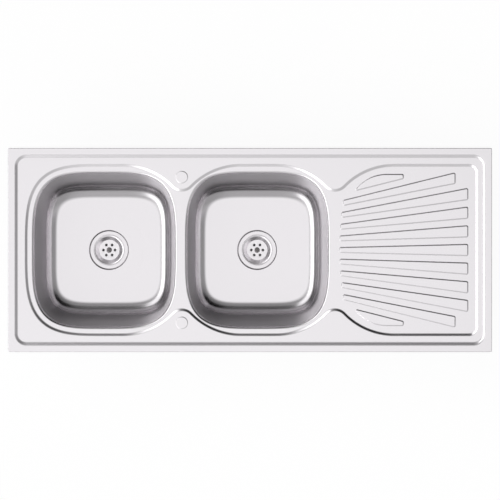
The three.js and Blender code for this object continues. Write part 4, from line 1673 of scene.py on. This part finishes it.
@dataclass(frozen=True)
class Panel:
    """A soft panel on one side of the studio; a negative strength makes it a dark flag.

    The edges are in degrees from straight up.
    """

    toward: tuple[float, float]
    high: float
    low: float
    strength: float
    edge: float = 8.0

    def light(self, tree: bpy.types.NodeTree, axes: bpy.types.Node) -> bpy.types.NodeSocket:
        """Adds the panel's nodes.

        Args:
            tree: The world's tree.
            axes: The node that splits the direction into X, Y and Z.

        Returns:
            The light that comes from the panel.
        """
        x = math_node(tree, "MULTIPLY", axes.outputs["X"], self.toward[0])
        y = math_node(tree, "MULTIPLY", axes.outputs["Y"], self.toward[1])
        sideways = math_node(tree, "ADD", x, y)
        high, low, edge = math.radians(self.high), math.radians(self.low), math.radians(self.edge)
        reach = 0.6 * math.sin(high)
        side = map_range(tree, sideways, 0.5 * reach, reach, 0.0, self.strength)
        above = map_range(tree, axes.outputs["Z"], math.cos(high - edge / 2), math.cos(high + edge / 2))
        below = map_range(tree, axes.outputs["Z"], math.cos(low + edge / 2), math.cos(low - edge / 2))
        return math_node(tree, "MULTIPLY", side, math_node(tree, "MULTIPLY", above, below))


@dataclass
class Studio:
    """Camera, light and floor."""

    camera_height: float = 4.31
    view_width: float = 1.2249
    sensor: float = 0.036
    floor_drop: float = 2 * MM
    floor_glow: float = 1.03
    floor_share: float = 0.9
    shadow_start: float = 0.75
    ceiling: float = 1.06
    ceiling_x: float = 0.2
    ceiling_y: float = 0.14
    ceiling_fade: float = 2.6
    walls: float = 0.42
    panels: tuple[Panel, ...] = (
        Panel((-1, 0), high=32, low=60, strength=1.6),
        Panel((1, 0), high=14, low=95, strength=-0.14),
        Panel((0, -1), high=14, low=95, strength=0.28),
        Panel((0, 1), high=40, low=95, strength=-0.28),
    )

    def camera(self, rim_level: float) -> None:
        """Looks straight down on the middle of the sink."""
        data = bpy.data.cameras.new("camera")
        data.sensor_width = self.sensor * 1000
        data.lens = self.sensor * 1000 * self.camera_height / self.view_width
        data.clip_end = 50
        made = bpy.data.objects.new("camera", data)
        made.location = (0, 0, rim_level + self.camera_height)
        bpy.context.scene.collection.objects.link(made)
        bpy.context.scene.camera = made

    def world(self) -> None:
        """A studio with a bright ceiling and dim walls, and plain white where it is seen."""
        world = bpy.data.worlds.new("studio")
        bpy.context.scene.world = world
        world.use_nodes = True
        tree = world.node_tree
        tree.nodes.clear()
        place = tree.nodes.new("ShaderNodeTexCoord")
        axes = tree.nodes.new("ShaderNodeSeparateXYZ")
        tree.links.new(place.outputs["Generated"], axes.inputs[0])
        across = math_node(tree, "DIVIDE", axes.outputs["X"], self.ceiling_x)
        along = math_node(tree, "DIVIDE", axes.outputs["Y"], self.ceiling_y)
        off = math_node(tree, "SQRT", math_node(tree, "ADD", square(tree, across), square(tree, along)))
        above = map_range(tree, off, self.ceiling_fade, 1.0, 0.0, self.ceiling - self.walls)
        light = math_node(tree, "ADD", above, self.walls)
        for panel in self.panels:
            light = math_node(tree, "ADD", light, panel.light(tree, axes))
        light = math_node(tree, "MAXIMUM", light, 0.0)
        seen = tree.nodes.new("ShaderNodeLightPath")
        studio = tree.nodes.new("ShaderNodeBackground")
        tree.links.new(light, studio.inputs["Strength"])
        white = tree.nodes.new("ShaderNodeBackground")
        mix = tree.nodes.new("ShaderNodeMixShader")
        tree.links.new(seen.outputs["Is Camera Ray"], mix.inputs[0])
        tree.links.new(studio.outputs[0], mix.inputs[1])
        tree.links.new(white.outputs[0], mix.inputs[2])
        for background in (studio, white):
            background.inputs["Color"].default_value = (1, 1, 1, 1)
        out = tree.nodes.new("ShaderNodeOutputWorld")
        tree.links.new(mix.outputs[0], out.inputs["Surface"])

    def under_sink(self, tree: bpy.types.NodeTree) -> bpy.types.NodeSocket:
        """The floor's share of glow, which fades out under the sink, where no light falls."""
        place = tree.nodes.new("ShaderNodeTexCoord")
        axes = tree.nodes.new("ShaderNodeSeparateXYZ")
        tree.links.new(place.outputs["Object"], axes.inputs[0])
        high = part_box("drainer_deck")[1]
        reach = [
            math_node(tree, "DIVIDE", math_node(tree, "ABSOLUTE", axes.outputs[axis]), size)
            for axis, size in (("X", high.x), ("Y", high.y))
        ]
        off = math_node(tree, "MAXIMUM", *reach)
        return map_range(tree, off, self.shadow_start, 1.0, 0.0, self.floor_share)

    def floor(self, lowest: float) -> None:
        """A pale floor just below the sink, white apart from the soft shadow, and clear from underneath."""
        mesh = bpy.data.meshes.new("floor")
        size = 8.0
        corners = [(-size, -size, 0), (size, -size, 0), (size, size, 0), (-size, size, 0)]
        mesh.from_pydata(corners, [], [(0, 1, 2, 3)])
        floor = bpy.data.objects.new("floor", mesh)
        floor.location.z = lowest - self.floor_drop
        bpy.context.scene.collection.objects.link(floor)
        material = bpy.data.materials.new("pale_floor")
        material.use_nodes = True
        tree = material.node_tree
        shader = tree.nodes["Principled BSDF"]
        shader.inputs["Base Color"].default_value = (0.9, 0.9, 0.9, 1)
        shader.inputs["Roughness"].default_value = 0.8
        glow = tree.nodes.new("ShaderNodeEmission")
        glow.inputs["Color"].default_value = (1, 1, 1, 1)
        seen = tree.nodes.new("ShaderNodeLightPath")
        mix = tree.nodes.new("ShaderNodeMixShader")
        glow.inputs["Strength"].default_value = self.floor_glow
        share = math_node(tree, "MULTIPLY", seen.outputs["Is Camera Ray"], self.under_sink(tree))
        tree.links.new(share, mix.inputs[0])
        tree.links.new(shader.outputs[0], mix.inputs[1])
        tree.links.new(glow.outputs[0], mix.inputs[2])
        side = tree.nodes.new("ShaderNodeNewGeometry")
        clear = tree.nodes.new("ShaderNodeBsdfTransparent")
        open_below = tree.nodes.new("ShaderNodeMixShader")
        tree.links.new(side.outputs["Backfacing"], open_below.inputs[0])
        tree.links.new(mix.outputs[0], open_below.inputs[1])
        tree.links.new(clear.outputs[0], open_below.inputs[2])
        tree.links.new(open_below.outputs[0], tree.nodes["Material Output"].inputs["Surface"])
        floor.data.materials.append(material)

    def build(self, rim_level: float, lowest: float) -> None:
        """Sets up the camera, the light and the floor."""
        self.camera(rim_level)
        self.world()
        self.floor(lowest)
        bpy.context.scene.view_settings.view_transform = "Standard"


def main() -> None:
    """Builds and dresses the sink, sub-assembly by sub-assembly."""
    logging.basicConfig(level=logging.INFO, format="%(name)s: %(message)s")
    levels = Levels()
    shape = BowlShape(levels)
    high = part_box("drainer_deck")[1]
    centres = tuple(sum(c.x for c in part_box(f"{side}_bowl")) / 2 for side in ("left", "right"))
    Studio().build(levels.rim, CAD_BOX[0][2])
    wardrobe = Wardrobe()
    deck = DrainerDeck(levels, shape, centres, high.x, high.y)
    wardrobe.dress(deck.build(), "drainer_deck", Slot.PRESSED)
    underside = Underside(wardrobe)
    underside.seal()
    for side, centre in zip(("left", "right"), centres):
        wardrobe.dress(Bowl(side, levels, shape, centre).build(), f"{side}_bowl", Slot.DRAWN)
        underside.pad(side, centre)
        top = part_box(f"{side}_strainer_flange")[1].z
        flange = StrainerFlange(side, centre, top)
        wardrobe.dress(flange.build(), f"{side}_strainer_flange", Slot.POLISHED)
        WasteOutlet(wardrobe, side, centre).build()
    FixingClip(wardrobe).build()


if __name__ == "__main__":
    main()
